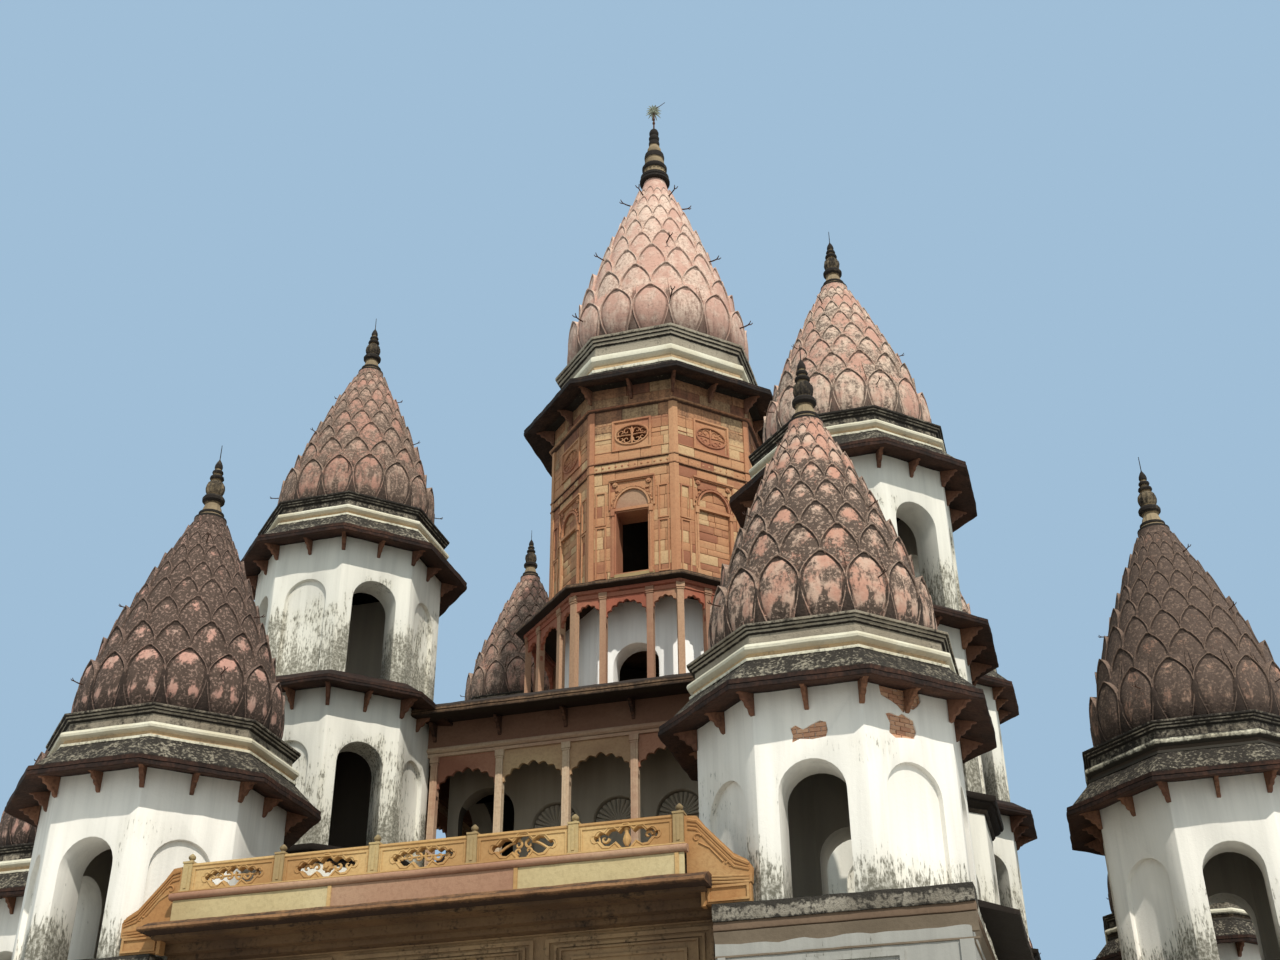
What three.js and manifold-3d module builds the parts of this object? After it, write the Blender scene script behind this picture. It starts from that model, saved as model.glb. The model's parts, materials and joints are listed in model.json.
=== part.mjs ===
// A thirteen-towered hindu temple of plastered brick and sandstone, in millimetres, +Z up.
// The origin is at ground level under the central tower, and the entrance front faces -Y.
// Eight low towers stand in a ring on the ground storey, four taller ones stand at the
// corners of the upper block, and one rises from the middle. Each ends in a lotus bud.
import * as THREE from "three";
import { mergeVertices } from "three/addons/utils/BufferGeometryUtils.js";
import Module from "manifold-3d";

const wasm = await Module();
wasm.setup();

// Plan: every tower stands on one square grid.
const GRID = 4480; // from the middle to the axes of the four upper towers
const RING = 2 * GRID; // from the middle to the outer rows of the eight low towers
const TOWER_RADIUS = 1600; // octagon of a tower, centre to corner
const TOWER_WALL = 500;
const CLEAR = 0.3; // joint between pieces whose meeting faces are not on round numbers
const OVERRUN = 10; // how far a cut runs past the faces of its wall

// Levels above the ground.
const PLINTH_TOP = 900;
const TERRACE = 6000; // roof of the ground storey
const SECOND_FLOOR = 8670;
const UPPER_TERRACE = 11500;
const GALLERY_ROOF = 14130; // underside of the roof round the central tower
const CENTRAL_FLOOR = 14500;

// Ground storey: a cross of four arms, each as wide as two towers and the bay between them.
const ARM_HALF = 5990;
const ARM_END = 10450;
const PLINTH_REACH = 250; // of the plinth beyond the walls
const GROUND_WALL = 600;
const ROOF_SLAB = 250;
const RECESS_HALF = 3350; // the middle bay of each arm, set back behind the corner blocks
const RECESS_FACE = 9900;

// Openings.
const TOWER_DOOR = { width: 760, head: 1500 };
const HIGH_DOOR = { width: 760, head: 1750 };
const BLOCK_DOOR = { width: 1000, head: 2000, spacing: 1800 };
const ARM_WINDOW = { width: 1100, sill: 1200, head: 3400, spacing: 2100 };
const SIDE_WINDOW = { width: 900, sill: 1200, head: 3200, place: 8000 };

// Upper block between the four taller towers.
const BLOCK_FACE = 3900;
const FIRST_FACE = 4050;
const BLOCK_WALL = 300;
const BLOCK_SLAB = 220;
const TERRACE_SLAB = 250;
const BAY_COUNT = 5;
const BAY = 1150;
const POST = 120;

// Room in the middle of the upper block, seen through the arcades.
const CORE_FACE = 3000;
const CORE_WALL = 350;
const CORE_DOOR = { width: 1000, head: 1730 };
const CORE_DOOR_MIDDLE = 2300; // from the middle of a side to the middle of a doorway

// Central tower.
const CENTRAL_RADIUS = 2200;
const CENTRAL_WALL = 500;
const CENTRAL_WINDOW = { width: 680, sill: 100, head: 1450 };
const CENTRAL_HEIGHT = 4350;
const CENTRAL_BASE_RADIUS = 2000;
const CENTRAL_BASE_WALL = 400;
const CENTRAL_DOOR = { width: 860, head: 1780 };
const GALLERY_RADIUS = 2660;

const ARC_STEPS = 3;
const SIDES = ["front", "right", "rear", "left"];

const white = new THREE.MeshStandardMaterial({ color: 0xd9d6c8, roughness: 0.9, metalness: 0 });
const sandstone = new THREE.MeshStandardMaterial({ color: 0xb0764a, roughness: 0.85, metalness: 0 });
const ochre = new THREE.MeshStandardMaterial({ color: 0xb98f4e, roughness: 0.85, metalness: 0 });
const lotus = new THREE.MeshStandardMaterial({ color: 0x8b6a5c, roughness: 0.9, metalness: 0 });
const weathered = new THREE.MeshStandardMaterial({ color: 0x5c5048, roughness: 0.95, metalness: 0 });

const temple = new THREE.Group();

// A closed three.js geometry as a solid, with its faces pointing out.
function solidOf(geometry) {
  const loose = geometry.index ? geometry.toNonIndexed() : geometry;
  const bare = new THREE.BufferGeometry().setAttribute("position", loose.getAttribute("position"));
  const merged = mergeVertices(bare, 1e-3);
  const corners = merged.index.array;
  const faces = [];
  for (let i = 0; i < corners.length; i += 3) {
    const [a, b, c] = corners.slice(i, i + 3);
    if (a !== b && b !== c && c !== a) faces.push(a, b, c);
  }
  const vertProperties = merged.attributes.position.array;
  const made = (triVerts) =>
    new wasm.Manifold(new wasm.Mesh({ numProp: 3, vertProperties, triVerts: new Uint32Array(triVerts) }));
  const solid = made(faces);
  return solid.volume() > 0 ? solid : made(faces.reverse());
}

function geometryOf(solid) {
  const mesh = solid.getMesh();
  return new THREE.BufferGeometry()
    .setAttribute("position", new THREE.BufferAttribute(new Float32Array(mesh.vertProperties), 3))
    .setIndex(new THREE.BufferAttribute(new Uint32Array(mesh.triVerts), 1));
}

function addNode(name, solid, material, x = 0, y = 0, z = 0) {
  const mesh = new THREE.Mesh(geometryOf(solid), material);
  mesh.name = name;
  mesh.position.set(x, y, z);
  temple.add(mesh);
}

const joined = (solids) => solids.reduce((all, next) => all.add(next));

function box(x0, x1, y0, y1, z0, z1) {
  const block = new THREE.BoxGeometry(x1 - x0, y1 - y0, z1 - z0);
  return solidOf(block.translate((x0 + x1) / 2, (y0 + y1) / 2, (z0 + z1) / 2));
}

// A flat outline in plan, raised from z0 to z1.
function prism(outline, z0, z1) {
  const shape = Array.isArray(outline)
    ? new THREE.Shape(outline.map(([x, y]) => new THREE.Vector2(x, y)))
    : outline;
  const raised = new THREE.ExtrudeGeometry(shape, {
    depth: z1 - z0,
    bevelEnabled: false,
    curveSegments: ARC_STEPS,
  });
  return solidOf(raised.translate(0, 0, z0));
}

// An octagon whose faces look along the axes and the diagonals.
const octagon = (radius) =>
  Array.from({ length: 8 }, (_, k) => {
    const angle = Math.PI / 8 + (k * Math.PI) / 4;
    return [radius * Math.cos(angle), radius * Math.sin(angle)];
  });

// A profile of [radius, height] points turned about Z. Eight sides give an octagon.
function turned(profile, sides = 8) {
  const points = profile.map(([r, z]) => new THREE.Vector2(r, z));
  const lathe = new THREE.LatheGeometry(points, sides, Math.PI / 8, Math.PI * 2);
  return solidOf(lathe.rotateX(Math.PI / 2));
}

// An upright outline in (across, up), cut from `near` to `far` along the direction of `turn`,
// where a turn of 0 looks along -Y.
function cutter(shape, near, far, turn) {
  const raised = new THREE.ExtrudeGeometry(shape, {
    depth: far - near,
    bevelEnabled: false,
    curveSegments: ARC_STEPS,
  });
  raised.rotateX(Math.PI / 2).translate(0, -near, 0).rotateZ(turn);
  return solidOf(raised);
}

function rectangle(width, sill, head) {
  const half = width / 2;
  const corners = [[-half, sill], [half, sill], [half, head], [-half, head]];
  return new THREE.Shape(corners.map(([x, y]) => new THREE.Vector2(x, y)));
}

function roundArch(width, sill, head, middle = 0) {
  const half = width / 2;
  const shape = new THREE.Shape();
  shape.moveTo(middle - half, sill);
  shape.lineTo(middle + half, sill);
  shape.lineTo(middle + half, head - half);
  shape.absarc(middle, head - half, half, 0, Math.PI, false);
  return shape;
}

// A cusped arch: lobes that bulge outwards along a flattened arc, with a peak in the middle.
function cuspedArch(width, sill, springing, head, middle, lobes = 5) {
  const half = width / 2;
  const rise = head - springing;
  const shape = new THREE.Shape();
  shape.moveTo(middle - half, sill);
  shape.lineTo(middle + half, sill);
  shape.lineTo(middle + half, springing);
  const steps = lobes * 2;
  for (let k = 1; k < steps; k += 1) {
    const angle = (Math.PI * k) / steps;
    const reach = k % 2 === 1 ? 1.0 : 0.86;
    shape.lineTo(middle + half * reach * Math.cos(angle), springing + rise * reach * Math.sin(angle));
  }
  shape.lineTo(middle - half, springing);
  return shape;
}

// Towers.

// Octagonal walls with an opening in every other face. firstTurn 0 opens those on the axes.
function octagonWalls(radius, wall, height, opening, firstTurn) {
  const inner = radius - wall / Math.cos(Math.PI / 8);
  const apothem = radius * Math.cos(Math.PI / 8);
  let walls = prism(octagon(radius), 0, height).subtract(prism(octagon(inner), -1, height + 1));
  for (let k = 0; k < 4; k += 1) {
    const turn = firstTurn + (k * Math.PI) / 2;
    walls = walls.subtract(cutter(opening, apothem - wall - OVERRUN, apothem + OVERRUN, turn));
  }
  return walls;
}

const doorway = (door) => roundArch(door.width, -1, door.head);

// The sloping stone eave round a tower head, closed over the room below. It droops below
// the level z towards its edge.
const EAVE = { reach: 460, rise: 430, droop: 80, edge: 100, chamfer: 20 };
function towerEave(wallRadius, z) {
  const tip = wallRadius + EAVE.reach;
  return turned([
    [0, z],
    [wallRadius - EAVE.chamfer, z],
    [tip - EAVE.chamfer, z - EAVE.droop],
    [tip, z - EAVE.droop + EAVE.chamfer],
    [tip, z - EAVE.droop + EAVE.edge],
    [wallRadius + EAVE.chamfer, z + EAVE.rise],
    [0, z + EAVE.rise],
  ]);
}

// Moulded octagonal cornice, lotus bud and ringed finial, from the top of the eave.
function spire(bud, height, finialHeight, slab, corniceHeight) {
  const cornice = turned([
    [0, 0],
    [slab * 0.95, 0],
    [slab, corniceHeight * 0.22],
    [slab * 0.94, corniceHeight * 0.5],
    [slab, corniceHeight * 0.76],
    [slab, corniceHeight],
    [0, corniceHeight],
  ]);
  const outline = [
    [0.93, 0],
    [1.0, 0.09],
    [0.93, 0.21],
    [0.74, 0.41],
    [0.4, 0.76],
    [0.14, 1.0],
  ];
  const overlap = 10;
  const seat = corniceHeight - overlap;
  const flower = turned([
    [0, seat],
    [bud * outline[0][0], seat],
    ...outline.map(([r, t]) => [bud * r, corniceHeight + height * t]),
    [0, corniceHeight + height],
  ], 16);
  const rings = [
    [0.17, 0],
    [0.18, 0.1],
    [0.08, 0.25],
    [0.12, 0.55],
    [0.05, 0.72],
    [0.02, 1.0],
  ];
  const foot = corniceHeight + height - overlap;
  const finial = turned([
    [0, foot],
    ...rings.map(([r, t]) => [bud * r, foot + finialHeight * t]),
    [0, foot + finialHeight],
  ], 6);
  return joined([cornice, flower, finial]);
}

const LOW_DRUM_HEIGHT = 2340;
const HIGH_DRUM_HEIGHT = 2470;
const BUD = 1490;
const BUD_HEIGHT = 3710;
const FINIAL_HEIGHT = 960;
const CORNICE_RADIUS = 1680;
const CORNICE_HEIGHT = 400;

function towerHead(height, door, firstTurn) {
  const walls = octagonWalls(TOWER_RADIUS, TOWER_WALL, height, doorway(door), firstTurn);
  return walls.add(towerEave(TOWER_RADIUS, height));
}

const lowTowers = {
  front_left: [-GRID, -RING],
  front_right: [GRID, -RING],
  right_front: [RING, -GRID],
  right_rear: [RING, GRID],
  rear_right: [GRID, RING],
  rear_left: [-GRID, RING],
  left_rear: [-RING, GRID],
  left_front: [-RING, -GRID],
};
const lowDrum = towerHead(LOW_DRUM_HEIGHT, TOWER_DOOR, 0);
const towerSpire = spire(BUD, BUD_HEIGHT, FINIAL_HEIGHT, CORNICE_RADIUS, CORNICE_HEIGHT);
for (const [place, [x, y]] of Object.entries(lowTowers)) {
  addNode(`drum_${place}`, lowDrum, white, x, y, TERRACE);
  addNode(`lotus_${place}`, towerSpire, lotus, x, y, TERRACE + LOW_DRUM_HEIGHT + EAVE.rise);
}

const highTowers = {
  front_left: [-GRID, -GRID],
  front_right: [GRID, -GRID],
  rear_right: [GRID, GRID],
  rear_left: [-GRID, GRID],
};
const MIDDLE_HEIGHT = UPPER_TERRACE - TERRACE_SLAB - SECOND_FLOOR;
const highDrum = towerHead(HIGH_DRUM_HEIGHT, HIGH_DOOR, Math.PI / 4);
const middleDrum = octagonWalls(TOWER_RADIUS, TOWER_WALL, MIDDLE_HEIGHT, doorway(HIGH_DOOR), Math.PI / 4);
for (const [place, [x, y]] of Object.entries(highTowers)) {
  addNode(`middle_drum_${place}`, middleDrum, white, x, y, SECOND_FLOOR);
  addNode(`high_drum_${place}`, highDrum, white, x, y, UPPER_TERRACE);
  addNode(`high_lotus_${place}`, towerSpire, lotus, x, y, UPPER_TERRACE + HIGH_DRUM_HEIGHT + EAVE.rise);
}

// Ground storey.

const cross = (half, end) => [
  [-half, -end], [half, -end], [half, -half], [end, -half], [end, half], [half, half],
  [half, end], [-half, end], [-half, half], [-end, half], [-end, -half], [-half, -half],
];

const plinthPlan = cross(ARM_HALF + PLINTH_REACH, ARM_END + PLINTH_REACH);
addNode("plinth", prism(plinthPlan, 0, PLINTH_TOP), weathered);

const STEP_RISE = 150;
const STEP_GOING = 320;
const STEP_HALF = 2600;
const STEP_COUNT = 5;
const stepsFoot = ARM_END + PLINTH_REACH + CLEAR;
addNode(
  "front_steps",
  joined(
    Array.from({ length: STEP_COUNT }, (_, k) =>
      box(-STEP_HALF, STEP_HALF, -stepsFoot - (STEP_COUNT - k) * STEP_GOING, -stepsFoot, 0, (k + 1) * STEP_RISE),
    ),
  ),
  weathered,
);

// The walls of one arm, before it is turned to its side. The front and rear arms also take
// the square of wall at the inner corners, which the other two arms stop against.
const WALL_TOP = TERRACE - ROOF_SLAB;
const PORTICO_HEAD = 5000;
function armWalls(takesCorner, portico) {
  const innerEnd = takesCorner ? ARM_HALF - GROUND_WALL : ARM_HALF + CLEAR;
  const inner = ARM_HALF - GROUND_WALL;
  let walls = box(-ARM_HALF, ARM_HALF, -ARM_END, -innerEnd, PLINTH_TOP, WALL_TOP);
  walls = walls.subtract(box(-inner, inner, -ARM_END + GROUND_WALL, 0, 0, TERRACE));
  const back = RECESS_FACE - GROUND_WALL;
  walls = walls.add(
    box(-RECESS_HALF - GROUND_WALL, RECESS_HALF + GROUND_WALL, -RECESS_FACE, -back, PLINTH_TOP, WALL_TOP),
  );
  const front = ARM_END + OVERRUN;
  walls = walls.subtract(box(-RECESS_HALF, RECESS_HALF, -front, -RECESS_FACE, 0, TERRACE));
  if (portico) {
    walls = walls.subtract(box(-RECESS_HALF, RECESS_HALF, -front, -back + OVERRUN, 0, PORTICO_HEAD));
  } else {
    for (const middle of [-ARM_WINDOW.spacing, 0, ARM_WINDOW.spacing]) {
      const sill = middle === 0 ? PLINTH_TOP - 1 : PLINTH_TOP + ARM_WINDOW.sill;
      const arch = roundArch(ARM_WINDOW.width, sill, PLINTH_TOP + ARM_WINDOW.head, middle);
      walls = walls.subtract(cutter(arch, back - OVERRUN, ARM_END, 0));
    }
  }
  for (const side of [-1, 1]) {
    const { width, sill, head, place } = SIDE_WINDOW;
    const arch = roundArch(width, PLINTH_TOP + sill, PLINTH_TOP + head, -side * place);
    walls = walls.subtract(cutter(arch, inner - OVERRUN, ARM_HALF + OVERRUN, (side * Math.PI) / 2));
  }
  return walls;
}

SIDES.forEach((side, k) => {
  const walls = armWalls(k % 2 === 0, side === "front");
  addNode(`ground_walls_${side}`, walls.rotate([0, 0, 90 * k]), white);
});

// Three cusped arches on four piers under the balcony.
const PORTICO_BAY = (2 * RECESS_HALF) / 3;
const PORTICO = { setBack: 60, depth: 400, width: 1780, springing: 3700, head: 4600 };
const porticoHalf = RECESS_HALF - CLEAR;
const porticoFace = RECESS_FACE - PORTICO.setBack;
const porticoBack = porticoFace - PORTICO.depth;
let portico = box(
  -porticoHalf, porticoHalf, -porticoFace, -porticoBack, PLINTH_TOP, PORTICO_HEAD - CLEAR,
);
for (const bay of [-1, 0, 1]) {
  const { width, springing, head } = PORTICO;
  const arch = cuspedArch(width, PLINTH_TOP - 1, springing, head, bay * PORTICO_BAY, 7);
  portico = portico.subtract(cutter(arch, porticoBack - OVERRUN, RECESS_FACE, 0));
}
addNode("portico_arches", portico, sandstone);

// Roof of the ground storey, with a thick weathered edge, sloping eaves along the sides of
// each arm, and parapets on three sides.
const ROOF_REACH = 60;
const SIDE_EAVE = { reach: 430, drop: 200, thickness: 60, end: 9800 };
const PARAPET = { height: 600, thickness: 150, inset: 250 };

function sideEave(side) {
  const foot = ARM_HALF + ROOF_REACH - OVERRUN;
  const tip = ARM_HALF + SIDE_EAVE.reach;
  const low = TERRACE - SIDE_EAVE.drop;
  const section = [
    [foot, low + 2 * SIDE_EAVE.thickness],
    [tip, low],
    [tip, low + SIDE_EAVE.thickness],
    [foot, TERRACE],
  ];
  const shape = new THREE.Shape(section.map(([x, z]) => new THREE.Vector2(side * x, z)));
  return cutter(shape, foot, SIDE_EAVE.end, 0);
}

let roof = prism(cross(ARM_HALF + ROOF_REACH, ARM_END + ROOF_REACH), WALL_TOP, TERRACE);
for (let k = 0; k < 4; k += 1) {
  for (const side of [-1, 1]) {
    roof = roof.add(sideEave(side).rotate([0, 0, 90 * k]));
  }
}
for (let k = 1; k < 4; k += 1) {
  const half = RECESS_HALF - PARAPET.inset;
  const parapet = box(-half, half, -ARM_END, -ARM_END + PARAPET.thickness, TERRACE, TERRACE + PARAPET.height);
  roof = roof.add(parapet.rotate([0, 0, 90 * k]));
}
addNode("ground_roof", roof, weathered);

// Balcony: a stone band with a projecting lip, carried on the roof edge.
const BALCONY_HALF = 3000; // to the axes of the end posts
const BALCONY_TOP = 6650;
const BAND = { overhang: 150, depth: 400, beyond: 230 };
const LIP = { overhang: 350, beyond: 350, low: 170, high: 260 };
const bandHalf = BALCONY_HALF + BAND.beyond;
const bandFace = ARM_END + BAND.overhang;
const lipHalf = BALCONY_HALF + LIP.beyond;
const band = box(-bandHalf, bandHalf, -bandFace, -bandFace + BAND.depth, TERRACE, BALCONY_TOP);
const lip = box(
  -lipHalf, lipHalf, -ARM_END - LIP.overhang, -ARM_END - ROOF_REACH - CLEAR,
  TERRACE + LIP.low, TERRACE + LIP.high,
);
addNode("balcony_band", band.add(lip), ochre);

// Balustrade: five pierced panels between posts, with a sloping wing at each end.
const PANELS = 5;
const PANEL_BAY = (2 * BALCONY_HALF) / PANELS;
const PANEL = { height: 350, thickness: 100 };
const SLOT = { half: 400, low: 90, high: 230 };
const RAIL_POST = { half: 65, height: 430 };
// A bar of the balustrade, centred on the plane of the arm's end wall.
function railBar(x0, x1, thickness, low, high) {
  const half = thickness / 2;
  return box(x0, x1, -ARM_END - half, -ARM_END + half, BALCONY_TOP + low, BALCONY_TOP + high);
}
let rail = railBar(-BALCONY_HALF, BALCONY_HALF, PANEL.thickness, 0, PANEL.height);
for (let k = 0; k < PANELS; k += 1) {
  const middle = -BALCONY_HALF + (k + 0.5) * PANEL_BAY;
  const depth = PANEL.thickness + 2 * OVERRUN;
  rail = rail.subtract(railBar(middle - SLOT.half, middle + SLOT.half, depth, SLOT.low, SLOT.high));
}
for (let k = 0; k <= PANELS; k += 1) {
  const x = -BALCONY_HALF + k * PANEL_BAY;
  rail = rail.add(railBar(x - RAIL_POST.half, x + RAIL_POST.half, 2 * RAIL_POST.half, 0, RAIL_POST.height));
}
addNode("balustrade", rail, ochre);

const WING = { end: 3750, lowEnd: 380, highEnd: 830, thickness: 100, setBack: 60 };
for (const [name, side] of [["balcony_wing_left", -1], ["balcony_wing_right", 1]]) {
  const near = bandHalf + CLEAR;
  const section = [
    [near, TERRACE],
    [WING.end, TERRACE],
    [WING.end, TERRACE + WING.lowEnd],
    [near, TERRACE + WING.highEnd],
  ];
  const shape = new THREE.Shape(section.map(([x, z]) => new THREE.Vector2(side * x, z)));
  const back = ARM_END - WING.setBack;
  addNode(name, cutter(shape, back, back + WING.thickness, 0), ochre);
}

// Upper block.

// One side of the first floor: the tower base at its left end and the wall with a doorway.
const FIRST_HEIGHT = SECOND_FLOOR - BLOCK_SLAB - TERRACE;
const WALL_BITE = 150; // of the first-floor wall into the tower that it joins
const towerApothem = TOWER_RADIUS * Math.cos(Math.PI / 8);
const wallReach = GRID - towerApothem;
SIDES.forEach((side, k) => {
  const base = octagonWalls(TOWER_RADIUS, TOWER_WALL, FIRST_HEIGHT, doorway(HIGH_DOOR), Math.PI / 4)
    .translate([-GRID, -GRID, 0]);
  const near = FIRST_FACE - BLOCK_WALL;
  const half = wallReach + WALL_BITE;
  let wall = box(-half, half, -FIRST_FACE, -near, 0, FIRST_HEIGHT);
  for (const middle of [-BLOCK_DOOR.spacing, 0, BLOCK_DOOR.spacing]) {
    const arch = roundArch(BLOCK_DOOR.width, -1, BLOCK_DOOR.head, middle);
    wall = wall.subtract(cutter(arch, near - OVERRUN, FIRST_FACE + OVERRUN, 0));
  }
  const nextTower = prism(octagon(TOWER_RADIUS + CLEAR), -1, FIRST_HEIGHT + 1).translate([GRID, -GRID, 0]);
  const roomCorner = prism(octagon(TOWER_RADIUS - WALL_BITE), -1, FIRST_HEIGHT + 1).translate([-GRID, -GRID, 0]);
  wall = wall.subtract(nextTower).subtract(roomCorner);
  addNode(`first_floor_${side}`, base.add(wall).rotate([0, 0, 90 * k]), white, 0, 0, TERRACE);
});

// A floor slab under the four towers and the block between them.
function blockSlab(half, towerProfile, z0, z1) {
  const corners = Object.values(highTowers).map(([x, y]) => turned(towerProfile).translate([x, y, 0]));
  return joined([box(-half, half, -half, half, z0, z1), ...corners]);
}
const CORNICE_REACH = 200;
const slabUnderside = SECOND_FLOOR - BLOCK_SLAB;
const corniceProfile = [
  [0, slabUnderside],
  [TOWER_RADIUS + CORNICE_REACH * 0.1, slabUnderside],
  [TOWER_RADIUS + CORNICE_REACH * 0.45, slabUnderside + BLOCK_SLAB * 0.4],
  [TOWER_RADIUS + CORNICE_REACH, slabUnderside + BLOCK_SLAB * 0.5],
  [TOWER_RADIUS + CORNICE_REACH, SECOND_FLOOR],
  [0, SECOND_FLOOR],
];
addNode("second_floor", blockSlab(FIRST_FACE, corniceProfile, slabUnderside, SECOND_FLOOR), weathered);

// Open arcade of five cusped bays between two towers, with a thicker beam along its top.
const ARCADE_TOP = UPPER_TERRACE - TERRACE_SLAB;
const ARCADE_ARCH = { springing: 10000, head: 10420 };
const BEAM = { front: 110, back: 150, underside: 10850 };
function arcade() {
  const half = wallReach - CLEAR;
  let screen = box(-half, half, -BLOCK_FACE - POST / 2, -BLOCK_FACE + POST / 2, SECOND_FLOOR, ARCADE_TOP);
  for (let k = 0; k < BAY_COUNT; k += 1) {
    const middle = (k - (BAY_COUNT - 1) / 2) * BAY;
    const { springing, head } = ARCADE_ARCH;
    const arch = cuspedArch(BAY - POST, SECOND_FLOOR - 1, springing, head, middle, 5);
    screen = screen.subtract(cutter(arch, BLOCK_FACE - POST, BLOCK_FACE + POST, 0));
  }
  return screen.add(box(-half, half, -BLOCK_FACE - BEAM.front, -BLOCK_FACE + BEAM.back, BEAM.underside, ARCADE_TOP));
}
SIDES.forEach((side, k) => {
  addNode(`arcade_${side}`, arcade().rotate([0, 0, 90 * k]), sandstone);
});

// Inner room behind the arcades, with two doorways in each side.
const coreInside = CORE_FACE - CORE_WALL;
let core = box(-CORE_FACE, CORE_FACE, -CORE_FACE, CORE_FACE, SECOND_FLOOR, ARCADE_TOP)
  .subtract(box(-coreInside, coreInside, -coreInside, coreInside, 0, UPPER_TERRACE));
for (let k = 0; k < 4; k += 1) {
  for (const middle of [-CORE_DOOR_MIDDLE, CORE_DOOR_MIDDLE]) {
    const arch = roundArch(CORE_DOOR.width, SECOND_FLOOR - 1, SECOND_FLOOR + CORE_DOOR.head, middle);
    core = core.subtract(cutter(arch, coreInside - OVERRUN, CORE_FACE + OVERRUN, (k * Math.PI) / 2));
  }
}
addNode("inner_room", core, white);

// The terrace above: a slab with a sloping eave along the block and round each tower.
const eaveTip = TOWER_RADIUS + EAVE.reach;
const eaveProfile = [
  [0, ARCADE_TOP],
  [TOWER_RADIUS, ARCADE_TOP],
  [eaveTip - EAVE.chamfer, ARCADE_TOP - EAVE.droop],
  [eaveTip, ARCADE_TOP - EAVE.droop + EAVE.chamfer],
  [eaveTip, ARCADE_TOP - EAVE.droop + EAVE.edge],
  [TOWER_RADIUS + 6 * EAVE.chamfer, UPPER_TERRACE],
  [0, UPPER_TERRACE],
];
const BLOCK_EAVE = { face: 4720, droop: 140, edge: 120, slope: 500 };
// A square profile of [distance to a side, height] points.
const squareTurned = (profile) =>
  turned(profile.map(([face, z]) => [face * Math.SQRT2, z]), 4).rotate([0, 0, 22.5]);
const blockEave = squareTurned([
  [0, ARCADE_TOP],
  [BLOCK_FACE + POST, ARCADE_TOP],
  [BLOCK_EAVE.face - EAVE.chamfer, ARCADE_TOP - BLOCK_EAVE.droop],
  [BLOCK_EAVE.face, ARCADE_TOP - BLOCK_EAVE.droop + EAVE.chamfer],
  [BLOCK_EAVE.face, ARCADE_TOP - BLOCK_EAVE.droop + BLOCK_EAVE.edge],
  [BLOCK_EAVE.face - BLOCK_EAVE.slope, UPPER_TERRACE],
  [0, UPPER_TERRACE],
]);
const drumsBelow = Object.values(highTowers).map(([x, y]) =>
  prism(octagon(TOWER_RADIUS + CLEAR), 0, ARCADE_TOP).translate([x, y, 0]));
const arcadesBelow = SIDES.map((side, k) =>
  box(-wallReach, wallReach, -BLOCK_FACE - BEAM.front - CLEAR, -BLOCK_FACE + BEAM.back, 0, ARCADE_TOP)
    .rotate([0, 0, 90 * k]));
const upperCorners = Object.values(highTowers).map(([x, y]) => turned(eaveProfile).translate([x, y, 0]));
const terraceSlab = joined([blockEave, ...upperCorners]).subtract(joined([...drumsBelow, ...arcadesBelow]));
addNode("upper_terrace", terraceSlab, weathered);

// Central tower.

const galleryHeight = GALLERY_ROOF - UPPER_TERRACE;
const baseWalls = octagonWalls(CENTRAL_BASE_RADIUS, CENTRAL_BASE_WALL, galleryHeight, doorway(CENTRAL_DOOR), 0);
addNode("central_base", baseWalls, white, 0, 0, UPPER_TERRACE);

// Ring of small cusped arches, narrow, wide, narrow on each face.
const RING_ARCH = { springing: 13480, head: 13870, wide: 770, narrow: 440, spacing: 720 };
const galleryApothem = GALLERY_RADIUS * Math.cos(Math.PI / 8);
let ring = prism(octagon(GALLERY_RADIUS), UPPER_TERRACE, GALLERY_ROOF)
  .subtract(prism(octagon(GALLERY_RADIUS - POST), 0, CENTRAL_FLOOR));
for (let k = 0; k < 8; k += 1) {
  for (const place of [-1, 0, 1]) {
    const width = place === 0 ? RING_ARCH.wide : RING_ARCH.narrow;
    const middle = place * RING_ARCH.spacing;
    const arch = cuspedArch(width, UPPER_TERRACE - 1, RING_ARCH.springing, RING_ARCH.head, middle, 2);
    ring = ring.subtract(cutter(arch, galleryApothem - 2 * POST, galleryApothem + OVERRUN, (k * Math.PI) / 4));
  }
}
addNode("gallery_ring", ring, sandstone);

const GALLERY_EAVE = { reach: 170, edge: 80 };
const galleryTip = GALLERY_RADIUS + GALLERY_EAVE.reach;
const galleryRoof = turned([
  [0, GALLERY_ROOF],
  [galleryTip, GALLERY_ROOF],
  [galleryTip, GALLERY_ROOF + GALLERY_EAVE.edge],
  [CENTRAL_RADIUS + 3 * EAVE.chamfer, CENTRAL_FLOOR],
  [0, CENTRAL_FLOOR],
]);
addNode("gallery_roof", galleryRoof, weathered);

const centralWindow = rectangle(CENTRAL_WINDOW.width, CENTRAL_WINDOW.sill, CENTRAL_WINDOW.head);
const centralWalls = octagonWalls(CENTRAL_RADIUS, CENTRAL_WALL, CENTRAL_HEIGHT, centralWindow, 0);
addNode("central_drum", centralWalls, sandstone, 0, 0, CENTRAL_FLOOR);

const CENTRAL_EAVE = { reach: 650, rise: 480, droop: 180 };
const centralTop = CENTRAL_FLOOR + CENTRAL_HEIGHT;
const centralTip = CENTRAL_RADIUS + CENTRAL_EAVE.reach;
const centralEave = turned([
  [0, 0],
  [CENTRAL_RADIUS - EAVE.chamfer, 0],
  [centralTip - EAVE.chamfer, -CENTRAL_EAVE.droop],
  [centralTip, -CENTRAL_EAVE.droop + EAVE.chamfer],
  [centralTip, -CENTRAL_EAVE.droop + EAVE.edge],
  [CENTRAL_RADIUS - EAVE.chamfer, CENTRAL_EAVE.rise],
  [0, CENTRAL_EAVE.rise],
]).subtract(prism(octagon(CENTRAL_RADIUS + CLEAR), -CENTRAL_EAVE.rise, 0));
addNode("central_eave", centralEave, weathered, 0, 0, centralTop);

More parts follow.
